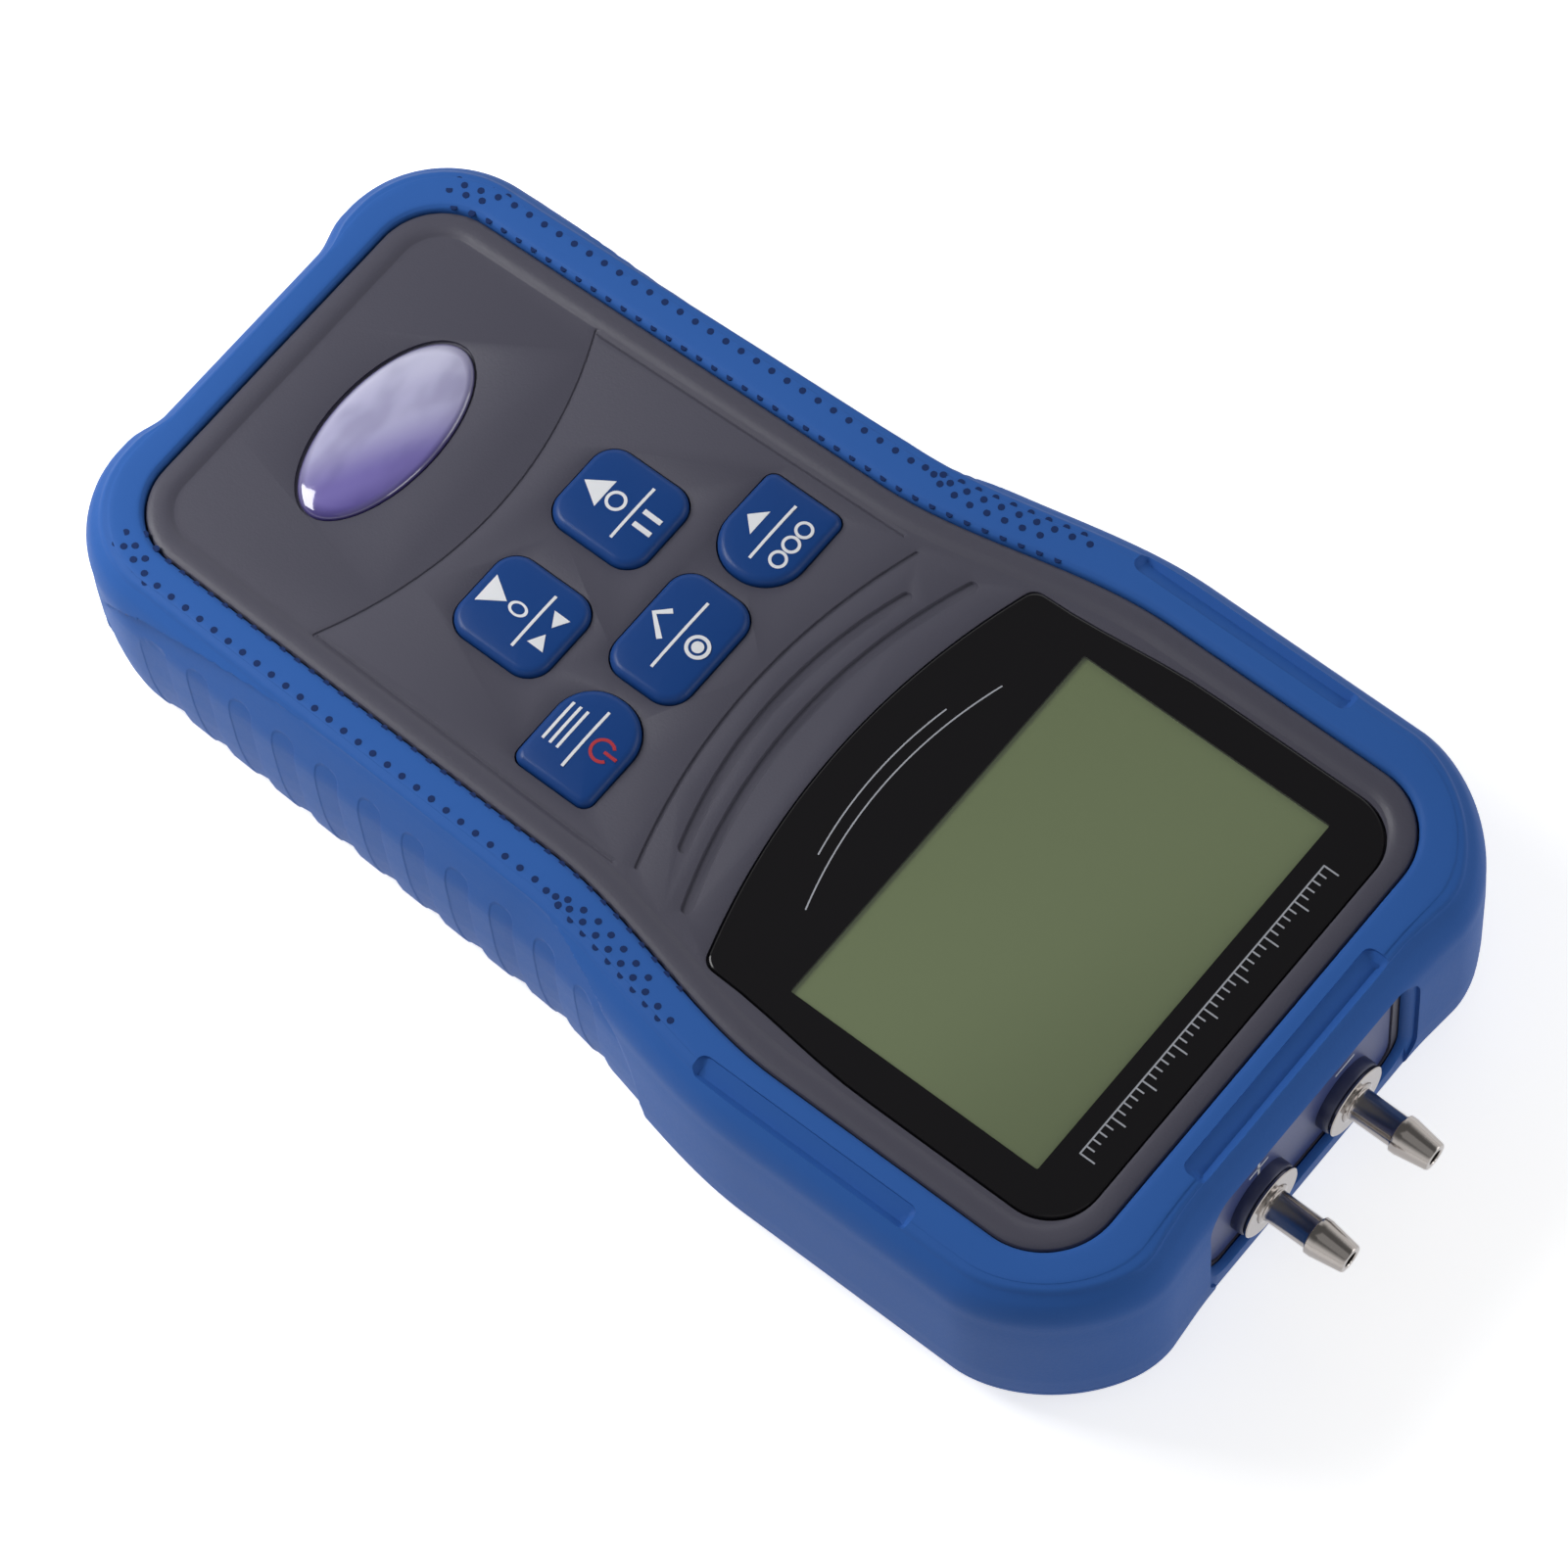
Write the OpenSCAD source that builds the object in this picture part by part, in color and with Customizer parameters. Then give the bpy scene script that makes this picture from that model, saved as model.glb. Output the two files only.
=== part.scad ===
// Hand-held digital manometer: grey two-part housing in a rubber boot, window, keys, two hose ports.
// It lies on its back. X is across the face, Y runs to the ports, Z points out of the face.
// Lengths along Y are counted from the lower edge of the screen, and the whole is then moved
// so that the origin lies under the middle of the outline.

/* [Body] */
// Reach of the boot from the screen's lower edge to the port end
head_reach = 61.5; // [60:0.5:68]
// Reach of the boot from the screen's lower edge to the tail
grip_reach = 120.7; // [116:0.1:132]
// Width of the boot at the head
head_w = 99; // [96:0.5:106]
// Width of the boot at the top of the grip
grip_w = 86.4; // [84:0.2:92]
// Width of the boot at the tail
tail_w = 80; // [78:0.5:86]
// Height of the joint between the housing halves
joint_z = 16; // [14:0.5:18]
// Wall of the two housing halves
case_wall = 2.2; // [1.8:0.1:2.6]

/* [Boot] */
// Wall of the rubber boot
boot_wall = 3; // [2.4:0.1:3.4]
// Width of the boot's border beside the face at the head
head_lip = 9; // [8:0.1:10]
// Width of the boot's border beside the face on the grip
grip_lip = 9.4; // [8:0.1:10]
// Width of the boot's border beside the face at the tail
tail_side_lip = 8.2; // [7:0.1:10]
// Width of the boot's border at the port end
top_lip = 10.2; // [9.4:0.1:11]
// Width of the boot's border at the tail
tail_lip = 7.7; // [6:0.1:9]
// Thickness of the border that laps over the housing
lip_t = 2.8; // [2.4:0.1:3.8]
// Width of the boot's flange on the back
flange_w = 9; // [7:0.5:10]
// Height of the boot's crown above the face rim
crown_h = 0.7; // [0.3:0.1:1.2]
// Scallops along each side of the grip
scallops = 11; // [8:1:13]
// Depth of a scallop
scallop_d = 0.8; // [0.3:0.1:0.9]
// Depth of the panel that the scallops lie in
panel_d = 0.4; // [0.2:0.1:0.6]
// Share of the head's width that the port cut-out takes
cutout_share = 0.408; // [0.38:0.002:0.43]
// Length and width of the shallow slot at the port end
top_slot = [38.5, 4];
// Length and width of the shallow slots at the sides
side_slot = [35, 3.5];
// Depth of the shallow slots
slot_d = 1.3; // [0.6:0.1:1.4]

/* [Window] */
// Distance of the window's side from the edge of the face
lens_margin = 4.9; // [4:0.1:6]
// Distance of the window's upper end from the edge of the face
lens_up = 3.5; // [3:0.1:5]
// Reach of the window's side below the screen's lower edge
lens_bottom = 9.3; // [8:0.1:10]
// Sag of the window's lower edge
lens_sag = 7.3; // [5:0.1:7.5]
// Corner radius at the window's upper end
lens_r = 7.5; // [5:0.1:9]
// Thickness of the window
lens_t = 1.5; // [1:0.1:1.8]
// Distance of the screen from the window's side
view_side = 5.6; // [5:0.1:7]
// Distance of the screen from the window's upper end
view_up = 8.15; // [7:0.05:9]

/* [Keys] */
// Distance of the outer keys from the edge of the face
key_margin = 7.25; // [6:0.05:9]
// Width and height of the middle upper key
mid_key = [17.9, 12.6];
// Width and height of the two lower keys
low_key = [14.1, 15.4];
// Space between the upper keys
key_space = 2.5; // [2.2:0.1:3]
// Space between the lower keys
low_space = 5.9; // [4:0.1:8]
// Distance of the upper row below the screen's lower edge
upper_row = 42.9; // [42.6:0.1:45]
// Space between the two rows
row_space = 4.3; // [3:0.1:6]
// Height of a key above the field of the face
key_h = 1.5; // [1.2:0.1:2.2]
// Crown of a key
key_crown = 0.6; // [0.3:0.1:0.9]
// Travel of a key
key_travel = 1; // [0.6:0.1:1.1]
// Gap round a key in its opening
key_gap = 0.35; // [0.25:0.05:0.5]

/* [Badge] */
// Width and height of the oval badge
badge = [31.2, 15.2];
// Distance of the badge above the tail
badge_up = 27.5; // [25:0.1:31]
// Height of the badge's dome above the face
badge_dome = 1.6; // [0.8:0.1:2]

/* [Ports] */
// Share of the cut-out's width between the two ports
port_share = 0.4392; // [0.4:0.0002:0.46]
// Depth of the port axis below the face rim
port_drop = 20.7; // [20:0.1:21]
// Widest radius of the barb
barb_r = 2.75; // [2.6:0.05:2.9]
// Length of the barb's widest land
barb_land = 1.2; // [0.8:0.1:1.6]
// Length of the barb's head with the land
barb_len = 5.64; // [5:0.02:6]
// Radius of the barb's tip
tip_r = 2; // [1.7:0.05:2.2]
// Radius of the shank behind the barb
shank_r = 2.3; // [2.1:0.05:2.4]
// Length of the shank
shank_len = 6.06; // [5.5:0.02:7]
// Radius and thickness of the step at the foot of the shank
step_size = [3.25, 0.8];
// Radius of the bore
port_bore_r = 1.15; // [0.9:0.05:1.4]
// Radius and thickness of the washer
washer_size = [5.4, 0.54];
// Radius and thickness of the dark collar
collar_size = [5.5, 1.9];
// Radius of the threaded shank
thread_r = 3; // [2.8:0.05:3.2]
// Width across the flats of the lock nut
nut_w = 9.6; // [9:0.1:10]
// Thickness of the lock nut
nut_t = 2.6; // [2:0.1:3]
// Sink of the port panel's front in the end of the housing
panel_sink = 0.3; // [0.1:0.1:0.6]
// Thickness of the port panel
port_panel_t = 3; // [2.6:0.1:3.4]

/* [Back] */
// Width, length and thickness of the battery
battery_size = [26.5, 48.5, 17.2];
// Room between the battery and the board
battery_head = 3; // [2.6:0.1:4]
// Reach of the battery door past the battery: at each side, at the tail and at the screw's end
door_past = [3.25, 1.8, 7.7];
// Thickness of the battery door
door_t = 1.4; // [1.2:0.1:1.8]
// Width, length and thickness of the tilt stand
stand_size = [44, 52, 2.6];
// Distance of the stand's hinge end from the port end of the boot
stand_in = 18.85; // [17:0.05:21]
// Radius of the stand's hinge barrel
stand_barrel_r = 2.1; // [1.9:0.1:2.3]
// Radius of the stand's hinge pin
stand_pin_r = 1; // [0.8:0.05:1.1]
// Radius of the tripod thread's bore
tripod_r = 2.6; // [2.5:0.05:2.7]
// Outer radius and length of the tripod insert
tripod_size = [5, 9];
// Place of the tripod insert as a share of the way from the stand to the battery door
tripod_share = 0.55; // [0.5:0.01:0.7]

/* [Hidden] */
$fn = 48;

boot_blue = [0.17, 0.33, 0.62];
key_blue = [0.09, 0.22, 0.5];
case_grey = [0.3, 0.3, 0.34];
panel_slate = [0.22, 0.23, 0.34];
window_black = [0.1, 0.1, 0.11];
nickel = [0.78, 0.77, 0.74];

// Overrun of every cut, and the usual clearances
over = 0.5;
fit_gap = 0.2;
slide_gap = 0.3;
hair = 0.05;
// Corner radii of hidden pieces and of the back's plates
edge_r = 1;
plate_r = 3;

// Where the outlines narrow, from the screen's lower edge
waist_top = 6;
waist_low = -37.5;

// Boot outline: corner sizes and powers, and the shallow bays in the tail and the port end
head_corner = [20, 21];
head_power = 1.75;
tail_corner = 17.5;
bay_w = 40;
bay_run = 4;
bay_d = 0.9;
end_bay_d = 1;
end_bay_run = 16;
strip_in = 0.9;

// Face outline: corner radii
face_corner = 10.75;
face_tail_corner = 10;

// The rear half: sink of its back into the boot's window, and its floor
back_sink = 0.8;
floor_t = 2.4;
floor_top = back_sink + floor_t;

// Heights of the stack from the back to the face: door, battery, board, face
field_drop = 0.6;
face_t = 2.4;
board_drop = 9.2;
board_t = 1.6;
battery_low = back_sink + door_t + 2*fit_gap;
body_t = battery_low + battery_size[2] + battery_head + board_t + board_drop;
field_z = body_t - field_drop;
shoulder_z = body_t - lip_t;
board_top = body_t - board_drop;
board_z = board_top - board_t;
face_under = field_z - face_t;

// Sizes that follow the head and the face
cutout_w = cutout_share*head_w;
port_pitch = port_share*cutout_w;
lens_w = head_w - 2*(head_lip + lens_margin);
lens_top = head_reach - top_lip - lens_up;
view = [lens_w - 2*view_side, lens_top - view_up];
face_half = grip_w/2 - grip_lip;
side_key = [face_half - key_margin - mid_key[0]/2 - key_space, mid_key[1]];

// Ends and middle of the outline
case_gap = 0.2;
case_inset = boot_wall + case_gap;
panel_y = head_reach - case_inset - panel_sink;
tip_y = panel_y + collar_size[1] + washer_size[1] + step_size[1] + shank_len + barb_len;
datum_y = (grip_reach - tip_y)/2;

module at_datum() {
  translate([0, datum_y, 0]) children();
}

function mix(a, b, t) = a + (b - a)*t;
function ease(t) = let (u = max(0, min(1, t))) u*u*(3 - 2*u);

// An outline is [half width at the head, on the grip, at the tail, reach up, reach down, corner
// sizes, corner power, tail radius]
boot_shape = [
  head_w/2, grip_w/2, tail_w/2, head_reach, grip_reach - bay_d, head_corner, head_power, tail_corner
];
face_shape = [
  head_w/2 - head_lip, grip_w/2 - grip_lip, tail_w/2 - tail_side_lip, head_reach - top_lip,
  grip_reach - tail_lip, [face_corner, face_corner], 2, face_tail_corner
];

// Half width at y: full at the head, eased in through the waist, then straight to the tail
function half_at(y, s) =
  y > waist_low ? mix(s[1], s[0], ease((y - waist_low)/(waist_top - waist_low)))
                : mix(s[1], s[2], (waist_low - y)/(waist_low + grip_reach));

// Right half of an outline from the port end to the tail, with points on the side at the given
// shares and at the given places along the two ends
function half_line(s, shares, top_n, tail_n, top_xs = [], tail_xs = []) =
  let (
    c = s[5], tail_top = s[7] - s[4], w = half_at(tail_top, s), side_top = s[3] - c[1]
  )
  concat(
    [for (x = top_xs) [x, s[3]]],
    [for (i = [0:top_n]) let (a = 90*i/top_n)
      [s[0] - c[0] + c[0]*pow(sin(a), 2/s[6]), side_top + c[1]*pow(cos(a), 2/s[6])]],
    [for (t = shares) let (y = mix(side_top, tail_top, t)) [half_at(y, s), y]],
    [for (i = [0:tail_n]) let (a = 90*i/tail_n)
      [w - s[7] + s[7]*cos(a), tail_top - s[7]*sin(a)]],
    [for (x = tail_xs) [x, -s[4]]]
  );

function mirrored(half) =
  concat(half, [for (i = [len(half) - 1:-1:0]) [-half[i][0], half[i][1]]]);

// Inward unit normals of a right half
function normals(half) = let (n = len(half))
  [for (i = [0:n - 1])
    let (
      a = i == 0 ? [-half[0][0], half[0][1]] : half[i - 1],
      b = i == n - 1 ? [-half[i][0], half[i][1]] : half[i + 1],
      t = (b - a)/norm(b - a)
    )
    [t[1], -t[0]]];

function inset(half, d) = let (m = normals(half)) [for (i = [0:len(half) - 1]) half[i] + m[i]*d];

function at_z(ring, z) = [for (p = ring) [p[0], p[1], z]];

// Quads between two rings of n points, as triangles
function band(a, b, n) =
  [for (i = [0:n - 1]) let (k = (i + 1)%n) each [[a + i, a + k, b + k], [a + i, b + k, b + i]]];

// Triangles that close a mirrored ring of n points, as strips from side to side
function cap(a, n) =
  [for (i = [0:n/2 - 2]) each [[a + i, a + i + 1, a + n - 2 - i], [a + i, a + n - 2 - i, a + n - 1 - i]]];

function flipped(faces) = [for (f = faces) [f[0], f[2], f[1]]];

// Solid through a stack of mirrored rings, from the lowest to the highest
module loft(rings) {
  n = len(rings[0]);
  last = len(rings) - 1;
  polyhedron(
    points = [for (r = rings) each r],
    faces = concat(
      flipped(cap(0, n)), [for (j = [0:last - 1]) each band(j*n, (j + 1)*n, n)], cap(last*n, n)
    )
  );
}

module slab(half, low, high) {
  translate([0, 0, low]) linear_extrude(high - low) polygon(mirrored(half));
}

// Rectangle with rounded corners; r is the radius of the right and of the left corners
function round_box(w, h, r, n) =
  [for (q = [0:3])
    let (
      sx = q == 0 || q == 3 ? 1 : -1, sy = q < 2 ? 1 : -1, c = sx > 0 ? r[0] : r[1]
    )
    for (i = [0:n]) let (a = 90*q + 90*i/n)
      [sx*(w/2 - c) + c*cos(a), sy*(h/2 - c) + c*sin(a)]];

module block(size, r, low, high) {
  translate([0, 0, low]) linear_extrude(high - low) polygon(round_box(size[0], size[1], [r, r], 5));
}

// Bar along X
module bar_x(r, length) {
  translate([-length/2, 0, 0]) rotate([0, 90, 0]) cylinder(r = r, h = length);
}

// Outlines of the boot, the housing and the face
shoulder_drop = 5;
side_n = 14;
side_shares = [for (i = [1:side_n]) i/(side_n + 1)];
seam_gap = 0.25;
smooth_line = half_line(boot_shape, side_shares, 8, 5);
case_line = inset(smooth_line, case_inset);
case_inner = inset(smooth_line, case_inset + case_wall);
face_line = half_line(face_shape, side_shares, 6, 5);

// Boot: a sunk panel along the grip, and arched scallops in it. The panel lies under a step line that
// falls to the back at the waist. A scallop fades out at its head side.
scallop_top = 18.7;
scallop_r = 2.7;
boot_side_top = head_reach - head_corner[1];
boot_side_low = tail_corner + bay_d - grip_reach;
scallop_from = -scallop_top;
scallop_to = boot_side_low;
scallop_pitch = (scallop_from - scallop_to)/scallops;
step_shares = [for (e = [-1.02, -0.6, 0.63, 1.02]) 0.5 + e*scallop_r/scallop_pitch];
head_shares = [0.06, 0.14, 0.2, 0.24, 0.28, 0.32, 0.35, 0.385];
boot_shares = concat(
  head_shares,
  [for (k = [0:scallops - 1], f = step_shares)
    (boot_side_top - scallop_from + scallop_pitch*(k + f))/(boot_side_top - boot_side_low)]
);
end_xs = [for (t = [1/6, 1/3, 1/2, 2/3, 5/6, 1]) cutout_w/2 - bay_run + t*2*bay_run];
bay_xs = [for (t = [1, 2/3, 1/3, 0]) bay_w/2 - bay_run*(1 - t)];
boot_line = half_line(boot_shape, boot_shares, 9, 6, end_xs, bay_xs);
boot_face_line = half_line(face_shape, boot_shares, 9, 6, end_xs, bay_xs);

step_z = mix(joint_z, body_t - shoulder_drop, 0.68);
fall_lead = 3.3;
fall_run = 14;
step_run = 0.9;
arch_drop = 2.2;
arch_run = 0.7;
panel_end = 9;
function grip_depth(y, z) =
  let (
    line = step_z*(1 - 0.9*ease((y - scallop_from + fall_lead)/fall_run)),
    t = (scallop_from - y)/scallop_pitch,
    along = (t - floor(t) - 0.5)*scallop_pitch,
    away = norm([along, max(0, z - line + arch_drop + scallop_r)]) - scallop_r,
    fade = mix(0.6, 1, ease((along + scallop_r)/(2*scallop_r)))*mix(1, 0.5, ease((z - round_z)/round_z))
  )
  panel_d*ease((line - z)/step_run + 0.5)*ease((y - scallop_to)/panel_end + 0.5)
    + (t < 0 || t > scallops ? 0 : scallop_d*ease(0.15 - away/arch_run)*fade);
// The tail's corners reach past its middle, and the port end's middle is drawn in
function bay_at(p) =
  p[1] > boot_side_top ? end_bay_d*(1 - ease((p[0] - cutout_w/2)/end_bay_run))
    : p[1] > scallop_to ? 0 : bay_d*ease((p[0] - bay_w/2 + bay_run)/bay_run);

// Ring of the boot: blend is the share of the way to the face, d the inset, grip and bay the shares
// of the grip's and the bays' depth
function boot_ring(blend, d, z, grip, bay) =
  let (m = normals(boot_line))
  at_z(mirrored([for (i = [0:len(boot_line) - 1])
    let (p = boot_line[i])
    mix(p, boot_face_line[i], blend) + m[i]*(d + grip*grip_depth(p[1], z)) - [0, bay*bay_at(p)]]), z);

// Section of the boot, from the inner edge of its border over the outside to the back and in again:
// shares of the way to the face, insets, heights and shares of the grip's and the bays' depth
crown_z = body_t + crown_h;
side_z = body_t - shoulder_drop;
round_d = 5.5;
round_z = 7;
arch_z = step_z - arch_drop;
boot_section = [
  [1, 0, shoulder_z + case_gap, 0, 0], [1, 0, body_t - 0.15*lip_t, 0, 0],
  [0.9, 0, mix(body_t, crown_z, 0.7), 0, 0], [0.68, 0, crown_z, 0, 0],
  [0, 0.52*round_d, mix(body_t, crown_z, 0.3), 0, 1.3],
  [0, 0.26*round_d, mix(side_z, body_t, 0.72), 0, 1.3],
  [0, 0.08*round_d, mix(side_z, body_t, 0.3), 0, 1.2], [0, 0.02*round_d, mix(joint_z, side_z, 0.8), 0, 1],
  [0, 0.01*round_d, step_z + step_run/2, 1, 1], [0, 0, step_z - step_run/2, 1, 1],
  [0, 0, arch_z + arch_run/4, 1, 1], [0, 0, arch_z - 0.35*scallop_r, 1, 1],
  [0, 0, arch_z - scallop_r, 1, 1], [0, 0, mix(round_z, joint_z, 0.4), 1, 1],
  [0, 0.1*round_d, 0.6*round_z, 1, 1], [0, 0.36*round_d, 0.26*round_z, 0.7, 1],
  [0, 0.7*round_d, 0.08*round_z, 0.3, 1], [0, 1.05*round_d, 0, 0, 1], [0, flange_w, 0, 0, 0],
  [0, flange_w, floor_t, 0, 0], [0, boot_wall + 0.4*round_d, floor_t, 0, 0],
  [0, boot_wall, round_z, 0, 0], [0, boot_wall, shoulder_z + case_gap, 0, 0]
];

// Places at the port end
panel_back = panel_y - port_panel_t;
port_z = body_t - port_drop;
port_x = port_pitch/2;
cut_low = port_z - collar_size[0] - over;
cut_high = shoulder_z - 0.75*case_wall;
cut_corner = 4.5;
// Grey rim of the housing that shows round the port panel
rim_in = 1.2;

// The port panel's flange behind the housing's end wall
flange_out = 0.8;
flange_front = panel_y + panel_sink - case_wall - hair;

// Prism along Y with the outline of the port opening, grown by g[0] across, by g[1] up and down, and
// by top at its upper end
module opening_prism(g, from_y, to_y, top = 0) {
  r = cut_corner + g[0];
  translate([0, from_y, 0]) rotate([90, 0, 180]) linear_extrude(to_y - from_y)
    translate([0, mix(cut_low, cut_high + top, 0.5)])
      polygon(round_box(cutout_w + 2*g[0], cut_high + top - cut_low + 2*g[1], [r, r], 5));
}

module rubber_boot() {
  rings = [for (s = boot_section) boot_ring(s[0], s[1], s[2], s[3], s[4])];
  n = len(rings[0]);
  count = len(rings);
  slot_floor = crown_z - slot_d;
  color(boot_blue) at_datum() difference() {
    polyhedron(
      points = [for (r = rings) each r],
      faces = [for (j = [0:count - 1]) each flipped(band(j*n, ((j + 1)%count)*n, n))]
    );
    opening_prism([0, 0], panel_back, head_reach + over, shoulder_z + case_gap - cut_high);
    // the strip below the ports stands back between the corners
    translate([-cutout_w/2, head_reach - end_bay_d - strip_in, -over])
      cube([cutout_w, 2*boot_wall, cut_low + cut_corner + over]);
    translate([0, head_reach - top_lip + 0.6*top_slot[1] + top_slot[1]/2, 0])
      block(top_slot, 0.45*top_slot[1], slot_floor, crown_z + over);
    for (side = [-1, 1])
      translate([side*(head_w/2 - 0.4*head_lip), waist_top + 0.18*side_slot[0], 0])
        block([side_slot[1], side_slot[0]], 0.45*side_slot[1], slot_floor - 0.3*slot_d, crown_z + over);
  }
}

// Window and screen
lens_seat = 0.25;
lens_rise = 0.3;
lens_z = field_z + lens_rise - lens_t;
mask_t = 0.2;
mask_z = lens_z - mask_t;
mask_in = 0.6;
// Outline of the window, grown by g: straight top, sides drawn in below, and a bowed lower edge
function lens_line(g) =
  let (w = lens_w/2 + g, top = lens_top + g, low = -lens_bottom - g, foot = w - 0.027*lens_w)
  concat(
    [for (i = [0:5]) let (a = 90 - 18*i) [w - lens_r + lens_r*cos(a), top - lens_r + lens_r*sin(a)]],
    [[w, 0.35*lens_top], [mix(w, foot, 0.4), 0]],
    [for (i = [0:3]) let (a = -30*i) [foot - 0.3*lens_r + 0.3*lens_r*cos(a), low + 0.3*lens_r*sin(a)]],
    [for (i = [1:5]) let (x = (foot - 0.3*lens_r)*(1 - i/5.5), t = x/(foot - 0.3*lens_r))
      [x, low - 0.3*lens_r - (lens_sag - 0.3*lens_r)*(1 - t*t)]]
  );

module display_window() {
  color(window_black) at_datum() slab(lens_line(0), lens_z, lens_z + lens_t);
}

// Printed film behind the window, open over the screen
module window_mask() {
  color(window_black) at_datum() difference() {
    slab(lens_line(-mask_in), mask_z, lens_z);
    translate([0, view[1]/2, 0]) block(view, hair, mask_z - over, lens_z + over);
  }
}

// The screen's frame stands on the board and holds the glass against the film
frame_side = 2;
frame_top = mask_z - hair;
glass_t = 2.4;
glass_margin = 2.5;
glass_size = [view[0] + 2*glass_margin, view[1] + 2*glass_margin];
frame_size = [glass_size[0] + frame_side, glass_size[1] + frame_side];
module lcd_glass() {
  color([0.4, 0.45, 0.35]) at_datum() translate([0, view[1]/2, 0])
    block(glass_size, hair, frame_top - glass_t, frame_top);
}

module lcd_frame() {
  color([0.75, 0.75, 0.72]) at_datum() translate([0, view[1]/2, 0]) difference() {
    block(frame_size, edge_r, board_top, frame_top);
    block([glass_size[0] + 2*hair, glass_size[1] + 2*hair], hair, frame_top - glass_t, frame_top + over);
    block(view, edge_r, board_top - over, frame_top);
  }
}

// Two conductive rubber strips between the board and the glass
strip_w = 2.2;
module lcd_connectors() {
  color([0.25, 0.3, 0.3]) at_datum() translate([0, view[1]/2, 0])
    for (side = [-1, 1])
      translate([0, side*(view[1]/2 - strip_w/2 - hair), 0])
        block([0.9*view[0], strip_w], hair, board_top, frame_top - glass_t);
}

// Keys: [middle, width and height, radius of the right and of the left corners]
soft_r = 3.6;
full_r = 6;
small_r = 1.6;
side_key_x = mid_key[0]/2 + key_space + side_key[0]/2;
low_key_x = (low_space + low_key[0])/2;
lower_row = upper_row + mid_key[1]/2 + row_space + low_key[1]/2;
key_list = [
  [[-side_key_x, -upper_row], side_key, [full_r, small_r]],
  [[0, -upper_row], mid_key, [soft_r, soft_r]],
  [[side_key_x, -upper_row], side_key, [small_r, full_r]],
  [[-low_key_x, -lower_row], low_key, [soft_r, soft_r]],
  [[low_key_x, -lower_row], low_key, [soft_r, soft_r]]
];
key_top = field_z + key_h;
key_foot = board_top + key_travel + over;
skirt_t = 1;
skirt_out = 0.4*key_space;
skirt_top = face_under - slide_gap;
web_t = 1.2;

function key_line(k, grow) =
  let (r = [for (c = k[2]) max(hair, c + grow)])
  [for (p = round_box(k[1][0] + 2*grow, k[1][1] + 2*grow, r, 5)) p + k[0]];

module key_prism(k, grow, low, high) {
  translate([0, 0, low]) linear_extrude(high - low) polygon(key_line(k, grow));
}

// Crowned cap of a key: rings that draw in towards the middle
crown_shares = [[1, 0], [1, 0.5], [0.96, 0.8], [0.86, 0.95], [0.5, 1]];
module key_cap(k) {
  n = len(key_line(k, 0));
  low = skirt_top - skirt_t/2;
  edge = key_top - key_crown;
  rings = concat(
    [at_z(key_line(k, 0), low)],
    [for (c = crown_shares)
      at_z([for (p = key_line(k, 0)) mix(k[0], p, c[0])], mix(edge - key_crown, key_top, c[1]))]
  );
  last = len(rings) - 1;
  polyhedron(
    points = concat([for (r = rings) each r], [[k[0][0], k[0][1], low], [k[0][0], k[0][1], key_top]]),
    faces = concat(
      [for (i = [0:n - 1]) [i, (i + 1)%n, (last + 1)*n]],
      [for (j = [0:last - 1]) each flipped(band(j*n, (j + 1)*n, n))],
      [for (i = [0:n - 1]) [last*n + (i + 1)%n, last*n + i, (last + 1)*n + 1]]
    )
  );
}

module key(i) {
  k = key_list[i];
  color(key_blue) at_datum() {
    key_cap(k);
    key_prism(k, skirt_out, skirt_top - skirt_t, skirt_top);
    key_prism(k, -skirt_out, key_foot, skirt_top - skirt_t/2);
  }
}

module key_unit() { key(0); }
module key_record() { key(1); }
module key_menu() { key(2); }
module key_hold() { key(3); }
module key_zero() { key(4); }

// Silicone web on the board, with a hole under each key and its contact
web_size = [2*(side_key_x + side_key[0]/2) + 6*skirt_out, lower_row - upper_row + low_key[1] + 5*skirt_out];
web_y = -(upper_row + lower_row)/2;
module key_web() {
  color([0.6, 0.6, 0.62]) at_datum() difference() {
    translate([0, web_y, 0]) block(web_size, 2*edge_r, board_top, board_top + web_t);
    for (k = key_list) key_prism(k, 0, board_top - over, board_top + web_t + over);
  }
}

// Front half of the housing
badge_y = badge_up - grip_reach;
badge_gap = 0.3;
badge_sink = 0.9;
badge_points = 32;
function oval(size, grow) =
  [for (i = [0:badge_points - 1]) let (a = 360*(i + 0.5)/badge_points)
    [(size[0]/2 + grow)*sin(a), badge_y + (size[1]/2 + grow)*cos(a)]];

// Raised rim round the face: insets and drops below the rim's top
rim_w = 4.2;
rim_section = [
  [seam_gap, 0.3*lip_t], [1.5*seam_gap, 0.14*lip_t], [0.25*rim_w, 0.03*lip_t], [0.5*rim_w, 0],
  [0.75*rim_w, 0.3*field_drop], [rim_w, field_drop]
];
module face_plate() {
  loft(concat(
    [at_z(mirrored(inset(face_line, seam_gap)), shoulder_z - over)],
    [for (s = rim_section) at_z(mirrored(inset(face_line, s[0])), body_t - s[1])]
  ));
}

// Bowed groove: a band of width w along an arc from -half to half, lowest at x = 0
arc_n = 10;
module bowed_groove(half, y_end, sag, w, depth) {
  top = [for (i = [-arc_n:arc_n]) let (t = i/arc_n) [half*t, y_end - sag*(1 - t*t) + w/2]];
  low = [for (i = [arc_n:-1:-arc_n]) let (t = i/arc_n) [half*t, y_end - sag*(1 - t*t) - w/2]];
  translate([0, 0, field_z - depth]) linear_extrude(depth + over) polygon(concat(top, low));
}

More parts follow.
